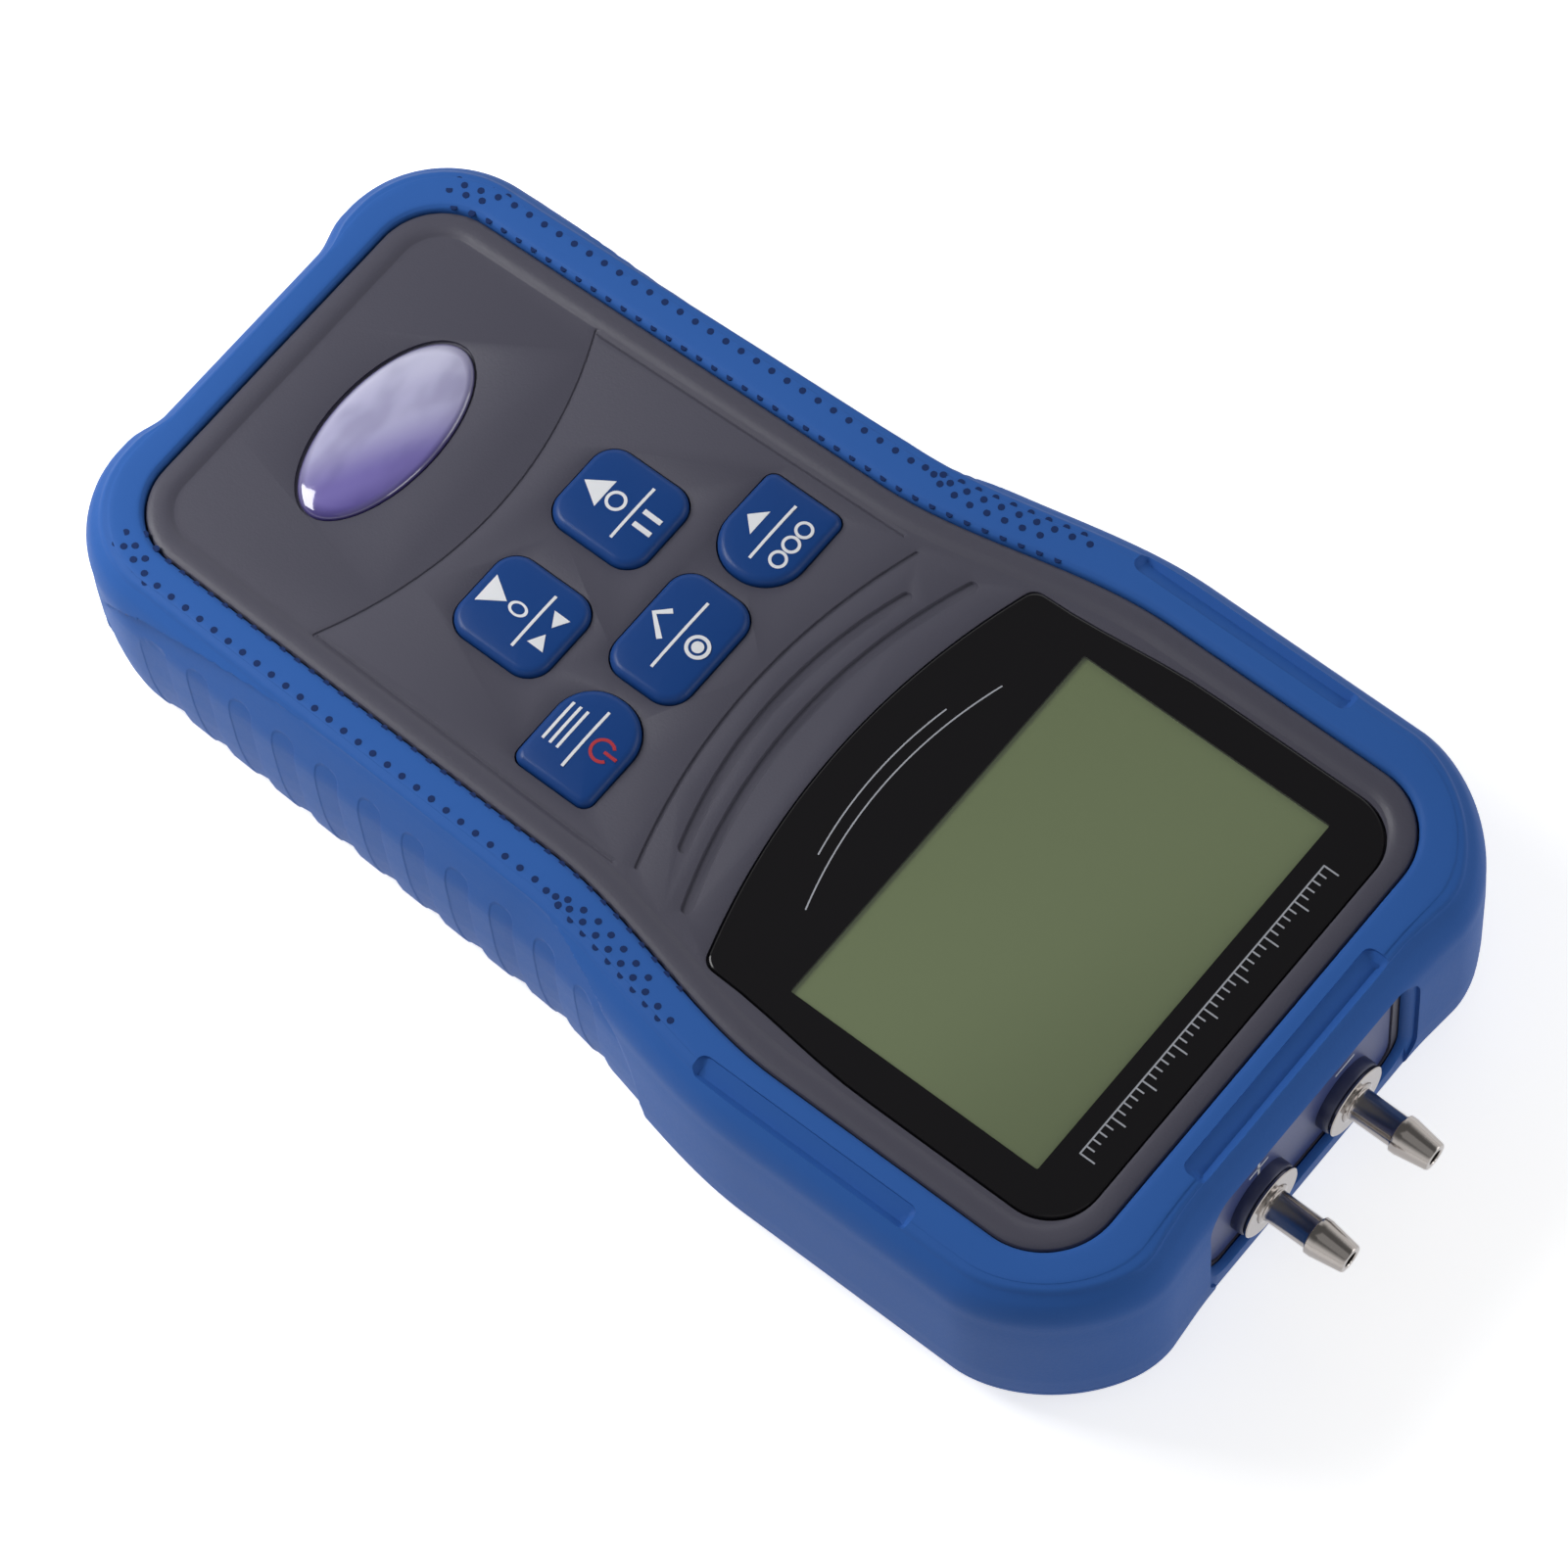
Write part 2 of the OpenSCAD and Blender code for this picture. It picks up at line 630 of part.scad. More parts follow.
groove_d = 0.45;
groove_w = 1.9;
crease_w = 0.7;
keypad_half = [face_half - 2*groove_w, face_half - 2*groove_w - 1.3*crease_w];
keypad_span = [29.5, 80.8];
keypad_bow = 6.9;
function grooves() = [
  // half length, end's place below the screen, sag, width
  [face_half - 2.5*groove_w, 17.7, 5.5, groove_w], [face_half - 5.9*groove_w, 23.5, 3.8, groove_w],
  [face_half - 2.8*groove_w, 26.5, 4.7, crease_w],
  [keypad_half[1], keypad_span[1], -keypad_bow, crease_w]
];

boss_r = 3.2;
foot_r = 4;
screw_r = 1.3;
pilot_r = 1.05;
head_rad = 2.4;
head_t = 0.8;
seat_z = floor_top + 2*head_t;
// Housing screws: at the port end and at the tail, clear of the boot's flange
boss_in = flange_w + 1.5*head_rad;
case_boss = [
  [head_w/2 - boss_in - 2.5*boss_r, head_reach - top_lip - 1.2*boss_r],
  [tail_w/2 - boss_in, 5*boss_r - grip_reach]
];
// Board screws: below the window and beside the battery
post_in = 17.5;
board_post = [[head_w/2 - post_in, -lens_bottom], [grip_w/2 - post_in, -lower_row - post_in]];

module at_four(places) {
  for (p = places, side = [-1, 1]) translate([side*p[0], p[1], 0]) children();
}

// Window and groove of the port panel in the two halves
module panel_seat() {
  opening_prism([-rim_in, 0], panel_back - over, head_reach);
  opening_prism([flange_out - rim_in + fit_gap/2, flange_out + fit_gap/2], panel_back - hair, flange_front + hair);
}

// Ring in the joint between the halves, grown by g
seal_w = 0.8;
module seal_ring(g) {
  difference() {
    slab(inset(case_line, 0.5*case_wall - seal_w/2 - g), joint_z - seal_w/2 - g, joint_z + seal_w/2 + g);
    slab(inset(case_line, 0.5*case_wall + seal_w/2 + g), joint_z - seal_w, joint_z + seal_w);
  }
}

module front_case() {
  color(case_grey) at_datum() difference() {
    union() {
      difference() {
        union() {
          slab(case_line, joint_z, shoulder_z);
          face_plate();
        }
        slab(case_inner, joint_z - over, shoulder_z - case_wall);
        slab(inset(face_line, case_wall + seam_gap), shoulder_z - case_wall - over, face_under);
      }
      at_four(case_boss) translate([0, 0, joint_z])
        cylinder(r = boss_r, h = face_under + hair - joint_z);
    }
    at_four(case_boss) translate([0, 0, joint_z - over]) cylinder(r = pilot_r, h = 3*boss_r);
    slab(lens_line(lens_seat), mask_z, body_t + over);
    translate([0, view[1]/2, 0])
      block([frame_size[0] + 2*fit_gap, frame_size[1] + 2*fit_gap], edge_r, face_under - over, body_t);
    for (k = key_list) key_prism(k, key_gap, face_under - over, body_t);
    translate([0, 0, field_z - badge_sink]) linear_extrude(badge_sink + over) polygon(oval(badge, badge_gap));
    for (g = grooves()) bowed_groove(g[0], -g[1], g[2], g[3], groove_d);
    for (side = [-1, 1]) translate([0, 0, field_z - groove_d]) linear_extrude(groove_d + over)
      polygon([
        [side*keypad_half[0], -keypad_span[0]], [side*(keypad_half[0] - crease_w), -keypad_span[0]],
        [side*(keypad_half[1] - crease_w), -keypad_span[1]], [side*keypad_half[1], -keypad_span[1]]
      ]);
    panel_seat();
    seal_ring(hair);
  }
}

// Oval badge: flat foot and a low dome
module name_badge() {
  dome = [[1, 0], [0.96, 0.35], [0.84, 0.66], [0.62, 0.88], [0.32, 0.98]];
  foot = field_z - badge_sink;
  rings = concat([at_z(oval(badge, 0), foot)], [for (d = dome)
    at_z([for (p = oval(badge, 0)) mix([0, badge_y], p, d[0])], field_z + badge_dome*d[1])]);
  color([0.36, 0.33, 0.6]) at_datum() loft(rings);
}

// Rear half of the housing
stand_top = head_reach - stand_in;
stand_y = stand_top - stand_size[1]/2;
stand_room = slide_gap + fit_gap;
stand_axis_z = back_sink + fit_gap + stand_barrel_r;
stand_axis_y = stand_top - stand_barrel_r;
tray_top = stand_axis_z + stand_barrel_r + slide_gap;
tray = [stand_size[0] + 2*stand_room, stand_size[1] + 2*stand_room];
battery_y = battery_size[1]/2 + 4*boss_r - grip_reach;
door_size = [battery_size[0] + 2*door_past[0], battery_size[1] + door_past[1] + door_past[2], door_t];
door_y = battery_y + (door_past[2] - door_past[1])/2;
door_top = door_y + door_size[1]/2;
door_hole = [battery_size[0] + 4*fit_gap, battery_size[1] + 6*fit_gap];
well_wall = 1.2;
door_screw_y = door_top - 1.1*boss_r;
tripod_y = mix(stand_y - tray[1]/2 - case_wall, door_top, tripod_share);

module rear_shell() {
  difference() {
    union() {
      loft([
        at_z(mirrored(inset(smooth_line, case_inset + 0.4*round_d)), floor_t + case_gap),
        at_z(mirrored(inset(smooth_line, case_inset)), round_z),
        at_z(mirrored(inset(smooth_line, case_inset)), joint_z)
      ]);
      slab(inset(smooth_line, flange_w + seam_gap), back_sink, round_z);
    }
    slab(case_inner, round_z, joint_z + over);
    slab(inset(case_inner, 0.4*round_d), floor_top, round_z + over);
  }
}

module rear_case() {
  color(case_grey) at_datum() difference() {
    union() {
      rear_shell();
      // tray of the tilt stand, well of the battery, and the bosses
      translate([0, stand_y, 0])
        block([tray[0] + 2*case_wall, tray[1] + 2*case_wall], edge_r, floor_top - hair, tray_top + case_wall);
      translate([0, battery_y, 0])
        block([door_hole[0] + 2*well_wall, door_hole[1] + 2*well_wall], edge_r, floor_top - hair, board_z - fit_gap);
      translate([0, tripod_y, floor_top - hair])
        cylinder(r = tripod_size[0] + case_wall, h = tripod_size[1] + hair);
      translate([0, door_screw_y, floor_top - hair]) cylinder(r = boss_r, h = 3*boss_r);
      at_four(case_boss) translate([0, 0, floor_top - hair]) {
        cylinder(r = boss_r, h = joint_z - floor_top + hair);
        cylinder(r = foot_r, h = 3*head_t);
      }
      at_four(board_post) translate([0, 0, floor_top - hair]) cylinder(r = boss_r, h = board_z - floor_top + hair);
    }
    translate([0, stand_y, 0]) block(tray, edge_r, -over, tray_top);
    translate([0, stand_axis_y, stand_axis_z]) bar_x(stand_pin_r + hair/2, tray[0] + 2*case_wall - hair);
    translate([0, battery_y, 0]) block(door_hole, edge_r, -over, board_z - fit_gap - well_wall);
    translate([0, door_y, 0])
      block([door_size[0] + 2*fit_gap, door_size[1] + 2*fit_gap], plate_r, -over, back_sink + door_size[2] + hair);
    translate([0, door_screw_y, back_sink]) cylinder(r = pilot_r, h = 3*boss_r);
    translate([0, tripod_y, -over]) cylinder(r = tripod_size[0] + hair, h = tripod_size[1] + back_sink + over);
    at_four(case_boss) {
      translate([0, 0, -over]) cylinder(r = screw_r + hair, h = joint_z + 2*over);
      translate([0, 0, -over]) cylinder(r = head_rad + fit_gap, h = seat_z + over);
    }
    at_four(board_post) translate([0, 0, board_z - 3*boss_r]) cylinder(r = pilot_r, h = 3*boss_r + over);
    panel_seat();
    seal_ring(hair);
  }
}

// Cord seal in the joint between the halves
module case_seal() {
  color([0.12, 0.12, 0.12]) at_datum() difference() {
    seal_ring(0);
    opening_prism([case_wall, case_wall], panel_back - port_panel_t, head_reach);
  }
}

// Circuit board, cut out round the housing bosses and short of the ports
board_in = 0.8;
board_end = panel_back - nut_t - boss_r;
module main_board() {
  color([0.1, 0.35, 0.2]) at_datum() difference() {
    slab(inset(case_inner, board_in), board_z, board_top);
    translate([-head_w/2, board_end, board_z - over]) cube([head_w, head_reach, board_t + 2*over]);
    at_four(case_boss) translate([0, 0, board_z - over]) cylinder(r = boss_r + 2*fit_gap, h = board_t + 2*over);
    at_four(board_post) translate([0, 0, board_z - over]) cylinder(r = screw_r, h = board_t + 2*over);
  }
}

chip_size = [12, 12];
chip_t = 1.8;
chip_x = board_post[0][0] - boss_r - chip_size[0]/2 - 0.25*chip_size[0];
module main_chip() {
  color([0.15, 0.15, 0.15]) at_datum() translate([-chip_x, -chip_size[1]/4, 0])
    block(chip_size, hair, board_z - chip_t, board_z);
}

buzzer_size = [6, 5];
module buzzer() {
  color([0.1, 0.1, 0.1]) at_datum() translate([0.27*grip_w, tripod_y - 2*boss_r, board_z - buzzer_size[1]])
    difference() {
      cylinder(r = buzzer_size[0], h = buzzer_size[1]);
      translate([0, 0, -over]) cylinder(r = buzzer_size[0]/5, h = buzzer_size[1]/2);
    }
}

// Pressure sensor under the board, with two nozzles towards the ports
tail_r = 1.9;
tail_len = 6;
sensor_size = [14, 12, 7];
sensor_y = 0.25*view[1];
nozzle_r = tail_r;
nozzle_len = 5;
nozzle_x = 0.27*sensor_size[0];
sensor_front = sensor_y + sensor_size[1]/2;
nozzle_z = board_z - sensor_size[2]/2;
module pressure_sensor() {
  color([0.85, 0.85, 0.82]) at_datum() {
    translate([0, sensor_y, 0]) block([sensor_size[0], sensor_size[1]], edge_r, board_z - sensor_size[2], board_z);
    for (side = [-1, 1])
      translate([side*nozzle_x, sensor_front - hair, nozzle_z]) rotate([-90, 0, 0])
        cylinder(r = nozzle_r, h = nozzle_len + hair);
  }
}

// Ports, from the panel's front outwards; every piece is turned about the port's axis
module on_port(side) {
  at_datum() translate([side*port_x, panel_y, port_z]) rotate([-90, 0, 0]) children();
}

module tube(outer, inner, low, high) {
  translate([0, 0, low]) difference() {
    cylinder(r = outer, h = high - low);
    translate([0, 0, -over]) cylinder(r = inner, h = high - low + 2*over);
  }
}

washer_at = collar_size[1];
step_at = washer_at + washer_size[1];
shank_at = step_at + step_size[1];
barb_at = shank_at + shank_len;
tip_at = barb_at + barb_len;
thread_back = -port_panel_t - nut_t - over;
module port(side) {
  back = thread_back - tail_len;
  color(nickel) on_port(side) rotate_extrude() polygon([
    [port_bore_r, back], [tail_r, back], [tail_r, thread_back], [thread_r, thread_back],
    [thread_r, step_at], [step_size[0], step_at], [step_size[0], shank_at], [shank_r, shank_at],
    [shank_r, barb_at], [barb_r, barb_at], [barb_r, barb_at + barb_land], [tip_r, tip_at],
    [port_bore_r, tip_at]
  ]);
}

module port_plus() { port(1); }
module port_minus() { port(-1); }

module port_washers() {
  color(nickel) for (side = [-1, 1]) on_port(side)
    tube(washer_size[0], thread_r + hair, washer_at, step_at);
}

module port_collars() {
  color([0.13, 0.14, 0.2]) for (side = [-1, 1]) on_port(side)
    tube(collar_size[0], thread_r + hair, 0, washer_at);
}

module port_nuts() {
  color([0.75, 0.65, 0.4]) for (side = [-1, 1]) on_port(side) translate([0, 0, -port_panel_t - nut_t])
    difference() {
      cylinder(r = nut_w/sqrt(3), h = nut_t, $fn = 6);
      translate([0, 0, -over]) cylinder(r = thread_r + hair, h = nut_t + 2*over);
    }
}

// O-ring in a groove of the panel round each port
seal_r = 0.6;
module port_seals() {
  color([0.08, 0.08, 0.08]) for (side = [-1, 1]) on_port(side) translate([0, 0, -port_panel_t/2])
    rotate_extrude() translate([thread_r + hair + seal_r, 0]) circle(r = seal_r);
}

// Its front fills the housing's window, and a flange behind the end wall holds it
module port_panel() {
  color(panel_slate) difference() {
    at_datum() {
      opening_prism([-rim_in - fit_gap/2, -fit_gap/2], panel_back, panel_y);
      opening_prism([flange_out - rim_in, flange_out], panel_back, flange_front);
    }
    for (side = [-1, 1]) on_port(side) {
      translate([0, 0, -port_panel_t - over]) cylinder(r = thread_r + hair, h = port_panel_t + 2*over);
      translate([0, 0, -port_panel_t/2 - seal_r - hair])
        cylinder(r = thread_r + 2*seal_r + 2*hair, h = 2*seal_r + 2*hair);
    }
  }
}

// Silicone hoses from the ports' inner ends to the sensor's nozzles, as swept tubes
hose_wall = 0.9;
hose_sides = 12;
hose_steps = 12;
hose_lap = 4;
hose_from_y = panel_y + thread_back - tail_len;
hose_to_y = sensor_front + nozzle_len;
function hose_point(t) =
  let (e = ease(t))
  [mix(port_x, nozzle_x, e), mix(hose_from_y, hose_to_y, t), mix(port_z, nozzle_z, e)];
module hose(side) {
  inner = (tail_r + hair)/cos(180/hose_sides);
  outer = inner + hose_wall;
  mid = [for (i = [0:hose_steps]) hose_point(i/hose_steps)];
  path = concat(
    [hose_point(0) + [0, hose_lap, 0]], mid, [hose_point(1) - [0, hose_lap, 0]]
  );
  n = hose_sides;
  last = len(path) - 1;
  rings = [for (r = [outer, inner], p = path)
    [for (i = [0:n - 1]) let (a = 360*i/n) [side*(p[0] + r*cos(a)), p[1], p[2] + r*sin(a)]]];
  walls = concat(
    [for (j = [0:last - 1]) each band(j*n, (j + 1)*n, n)],
    [for (j = [0:last - 1]) each flipped(band((last + 1 + j)*n, (last + 2 + j)*n, n))],
    flipped(band(0, (last + 1)*n, n)), band(last*n, (2*last + 1)*n, n)
  );
  color([0.9, 0.9, 0.86]) at_datum()
    polyhedron(points = [for (r = rings) each r], faces = side > 0 ? flipped(walls) : walls);
}

module hose_plus() { hose(1); }
module hose_minus() { hose(-1); }

// Battery with its two terminals, and the snap with which the leads meet it
terminal_r = 3.2;
terminal_h = 2.4;
terminal_x = 6.35;
snap_t = 1.6;
battery_body = battery_size[1] - terminal_h - snap_t;
battery_z = battery_low + battery_size[2]/2;
battery_end = battery_y - battery_size[1]/2;
module battery() {
  color([0.2, 0.2, 0.22]) at_datum() {
    translate([-battery_size[0]/2, battery_end, battery_low])
      cube([battery_size[0], battery_body, battery_size[2] - fit_gap]);
    for (side = [-1, 1]) translate([side*terminal_x, battery_end + battery_body - hair, battery_z])
      rotate([-90, 0, 0]) cylinder(r = terminal_r, h = terminal_h + hair);
  }
}

module battery_snap() {
  end = battery_end + battery_body;
  size = [4*terminal_x, snap_t + terminal_h, 3*terminal_r];
  color([0.1, 0.1, 0.1]) at_datum() difference() {
    translate([-size[0]/2, end + 2*hair, battery_z - size[2]/2]) cube([size[0], size[1], size[2]]);
    for (side = [-1, 1]) translate([side*terminal_x, end, battery_z])
      rotate([-90, 0, 0]) cylinder(r = terminal_r + 2*hair, h = terminal_h + 3*hair);
  }
}

// Battery door: plate on the ledge of the rear half, and a pad that drops into the well
rib_pitch = 1.8;
module battery_door() {
  color(case_grey) at_datum() difference() {
    union() {
      translate([0, door_y, 0]) block([door_size[0], door_size[1]], plate_r, back_sink, back_sink + door_size[2]);
      translate([0, battery_y, 0]) block(
        [door_hole[0] - 2*fit_gap, door_hole[1] - 2*fit_gap], edge_r,
        back_sink + door_size[2] - hair, battery_low - hair
      );
    }
    translate([0, door_screw_y, -over]) cylinder(r = screw_r + hair, h = 2*floor_top);
    translate([0, door_screw_y, back_sink - over]) cylinder(r = head_rad + hair, h = over + head_t);
    for (i = [-3:3]) translate([-0.25*door_size[0], door_y - 0.3*door_size[1] + i*rib_pitch, back_sink - over])
      cube([0.5*door_size[0], rib_pitch/2, over + 0.35*door_size[2]]);
  }
}

// Cross-headed screw with its head down
module screw(length) {
  difference() {
    union() {
      cylinder(r = head_rad, h = head_t);
      cylinder(r = pilot_r - hair, h = length);
    }
    for (turn = [0, 90]) rotate([0, 0, turn])
      translate([-0.6*head_rad, -0.12*head_rad, -over]) cube([1.2*head_rad, 0.24*head_rad, over + 0.6*head_t]);
  }
}

module door_screw() {
  color(nickel) at_datum() translate([0, door_screw_y, back_sink]) screw(2.5*boss_r);
}

module case_screws() {
  color(nickel) at_datum() at_four(case_boss)
    translate([0, 0, seat_z - head_t]) screw(joint_z - seat_z + 2.5*boss_r);
}

module board_screws() {
  color(nickel) at_datum() at_four(board_post) translate([0, 0, board_top + head_t])
    rotate([180, 0, 0]) screw(head_t + board_t + 2*boss_r);
}

// Tilt stand: a plate with a hinge barrel at its upper end and a finger notch at its foot
module tilt_stand() {
  low = back_sink + fit_gap;
  plate = [stand_size[0], stand_size[1] - stand_barrel_r];
  color(case_grey) at_datum() difference() {
    union() {
      translate([0, stand_y - stand_barrel_r/2, 0]) block(plate, 0.5*stand_barrel_r, low, low + stand_size[2]);
      translate([0, stand_axis_y, stand_axis_z]) bar_x(stand_barrel_r, stand_size[0]);
    }
    translate([0, stand_axis_y, stand_axis_z]) bar_x(stand_pin_r + hair, stand_size[0] + 2*over);
    translate([0, stand_y - stand_size[1]/2, low - over])
      cylinder(r = 0.16*stand_size[0], h = stand_size[2] + 2*over);
    translate([0, stand_y, 0]) block(
      [0.55*stand_size[0], 0.4*stand_size[1]], plate_r, low + 0.5*stand_size[2], low + stand_size[2] + over
    );
  }
}

module stand_pin() {
  color(nickel) at_datum() translate([0, stand_axis_y, stand_axis_z]) bar_x(stand_pin_r, tray[0] + 1.6*case_wall);
}

module tripod_insert() {
  color([0.78, 0.66, 0.38]) at_datum() translate([0, tripod_y, back_sink])
    difference() {
      cylinder(r = tripod_size[0], h = tripod_size[1] - hair);
      translate([0, 0, -over]) cylinder(r = tripod_r, h = tripod_size[1] - edge_r + over);
    }
}

rubber_boot();
front_case();
rear_case();
case_seal();
display_window();
window_mask();
lcd_glass();
lcd_frame();
lcd_connectors();
main_board();
main_chip();
buzzer();
key_web();
key_unit();
key_record();
key_menu();
key_hold();
key_zero();
name_badge();
port_panel();
port_collars();
port_washers();
port_plus();
port_minus();
port_nuts();
port_seals();
pressure_sensor();
hose_plus();
hose_minus();
battery();
battery_snap();
battery_door();
door_screw();
tilt_stand();
stand_pin();
tripod_insert();
case_screws();
board_screws();
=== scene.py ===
"""Looks of a hand-held digital manometer: rubber boot, grey housing, window, keys, badge and hose ports.

Every length is in millimetres until a mesh is written, where MM turns it to metres. Plan coordinates
(x, y) count y from the lower edge of the screen, as the part's drawing does, and `Frame.datum` moves
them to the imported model's origin.
"""

from __future__ import annotations

import logging
import math
from dataclasses import dataclass, field
from enum import Enum

import bpy
import numpy as np
from mathutils import Matrix, Vector

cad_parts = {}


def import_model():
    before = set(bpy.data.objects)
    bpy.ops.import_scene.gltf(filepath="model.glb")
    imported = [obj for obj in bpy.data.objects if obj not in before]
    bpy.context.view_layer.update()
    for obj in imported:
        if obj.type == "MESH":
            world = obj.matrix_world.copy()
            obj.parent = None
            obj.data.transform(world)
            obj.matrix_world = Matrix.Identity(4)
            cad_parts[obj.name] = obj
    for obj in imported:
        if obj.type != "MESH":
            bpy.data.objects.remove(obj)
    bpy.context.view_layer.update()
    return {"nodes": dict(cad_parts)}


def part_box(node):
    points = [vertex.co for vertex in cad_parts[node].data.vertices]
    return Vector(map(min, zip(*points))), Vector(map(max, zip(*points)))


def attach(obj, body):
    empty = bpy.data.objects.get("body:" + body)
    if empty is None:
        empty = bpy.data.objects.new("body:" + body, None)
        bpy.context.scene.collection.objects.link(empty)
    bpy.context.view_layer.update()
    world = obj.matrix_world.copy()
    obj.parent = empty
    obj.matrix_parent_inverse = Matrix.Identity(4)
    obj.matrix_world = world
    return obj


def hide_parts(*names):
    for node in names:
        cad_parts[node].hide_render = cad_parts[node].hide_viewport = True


LOG = logging.getLogger("manometer")
MM = 0.001
# Printed ink: its top over the surface and its thickness, in millimetres
INK_TOP = 0.045
INK_T = 0.1
Array = np.ndarray


class Side(Enum):
    """The two sides of the instrument, as signs of X."""

    LEFT = -1
    RIGHT = 1


class Sign(Enum):
    """Marks above the two ports."""

    MINUS = "minus"
    PLUS = "plus"


# Numbers and outlines


def mix(a: Array | float, b: Array | float, t: Array | float) -> Array | float:
    """Straight blend from a to b by the share t."""
    return a + (b - a) * t


def ease(t: Array | float) -> Array | float:
    """Smooth step of t held between 0 and 1: 3t^2 - 2t^3."""
    u = np.clip(t, 0.0, 1.0)
    return u * u * (3.0 - 2.0 * u)


def srgb(code: str, alpha: float = 1.0) -> tuple[float, float, float, float]:
    """Linear colour of an sRGB hex code.

    Args:
        code: six hex digits with a leading #.
        alpha: fourth channel.

    Returns:
        Linear red, green, blue and alpha.
    """
    parts = np.array([int(code[i : i + 2], 16) for i in (1, 3, 5)]) / 255.0
    linear = np.where(parts <= 0.04045, parts / 12.92, ((parts + 0.055) / 1.055) ** 2.4)
    return (*linear.tolist(), alpha)


def mirrored(half: Array) -> Array:
    """Closed ring from a right half: the half, then its mirror image walked back."""
    left = half[::-1] * np.array([-1.0, 1.0])
    return np.concatenate([half, left])


def inward(half: Array) -> Array:
    """Inward unit normals of a right half, from the chord between each point's neighbours."""
    first, last = half[:1] * [-1.0, 1.0], half[-1:] * [-1.0, 1.0]
    padded = np.concatenate([first, half, last])
    along = padded[2:] - padded[:-2]
    along /= np.linalg.norm(along, axis=1, keepdims=True)
    return np.stack([along[:, 1], -along[:, 0]], axis=1)


def inset(half: Array, depth: float) -> Array:
    """The right half moved inwards by a depth."""
    return half + inward(half) * depth


def arc(x: float, y: float, radius: float, angles: Array) -> Array:
    """Points of a circle about (x, y) at angles in radians."""
    return np.stack([x + radius * np.cos(angles), y + radius * np.sin(angles)], axis=1)


def rounded_box(width: float, height: float, right: float, left: float, steps: int) -> Array:
    """Counter-clockwise ring of a rectangle whose right and left corners have their own radii.

    Args:
        width: size along x.
        height: size along y.
        right: radius of the two right corners.
        left: radius of the two left corners.
        steps: arcs per quarter turn.

    Returns:
        Points round the middle, one quarter circle to each corner.
    """
    quarter = np.radians(np.linspace(0.0, 90.0, steps + 1))
    angle = (np.radians(90.0) * np.arange(4)[:, None] + quarter).ravel()
    radius = np.repeat([right, left, left, right], steps + 1)
    sign_x = np.repeat([1.0, -1.0, -1.0, 1.0], steps + 1)
    sign_y = np.repeat([1.0, 1.0, -1.0, -1.0], steps + 1)
    x = sign_x * (width / 2 - radius) + radius * np.cos(angle)
    y = sign_y * (height / 2 - radius) + radius * np.sin(angle)
    return np.stack([x, y], axis=1)


@dataclass(frozen=True)
class Outline:
    """Plan of the boot or the face: half widths, reaches, corners and the waist between head and grip."""

    head: float
    grip: float
    tail: float
    up: float
    down: float
    corner: tuple[float, float]
    power: float
    tail_radius: float
    waist: tuple[float, float] = (-37.5, 6.0)
    grip_reach: float = 120.7

    def half_width(self, y: Array) -> Array:
        """Half width at y: full at the head, eased in through the waist, then straight to the tail."""
        low, top = self.waist
        upper = mix(self.grip, self.head, ease((y - low) / (top - low)))
        lower = mix(self.grip, self.tail, (low - y) / (low + self.grip_reach))
        return np.where(y > low, upper, lower)

    def half(self, shares: Array, corner_n: int, tail_n: int, top_xs: Array, tail_xs: Array) -> Array:
        """Right half from the port end to the tail: end points, superelliptic corner, side, tail corner.

        Args:
            shares: places along the side, as shares of its length.
            corner_n: steps of the upper corner.
            tail_n: steps of the tail corner.
            top_xs: x of the points along the port end.
            tail_xs: x of the points along the tail.

        Returns:
            An array of x, y pairs.
        """
        side_top = self.up - self.corner[1]
        tail_top = self.tail_radius - self.down
        width = float(self.half_width(np.array(tail_top)))
        angle = np.radians(np.linspace(0.0, 90.0, corner_n + 1))
        upper = np.stack([
            self.head - self.corner[0] + self.corner[0] * np.sin(angle) ** (2 / self.power),
            side_top + self.corner[1] * np.clip(np.cos(angle), 0, 1) ** (2 / self.power),
        ], axis=1)
        y = mix(side_top, tail_top, shares)
        side = np.stack([self.half_width(y), y], axis=1)
        turn = np.radians(np.linspace(0.0, -90.0, tail_n + 1))
        lower = arc(width - self.tail_radius, tail_top, self.tail_radius, turn)
        top = np.stack([top_xs, np.full(len(top_xs), self.up)], axis=1)
        tail = np.stack([tail_xs, np.full(len(tail_xs), -self.down)], axis=1)
        return np.concatenate([top, upper, side, lower, tail])


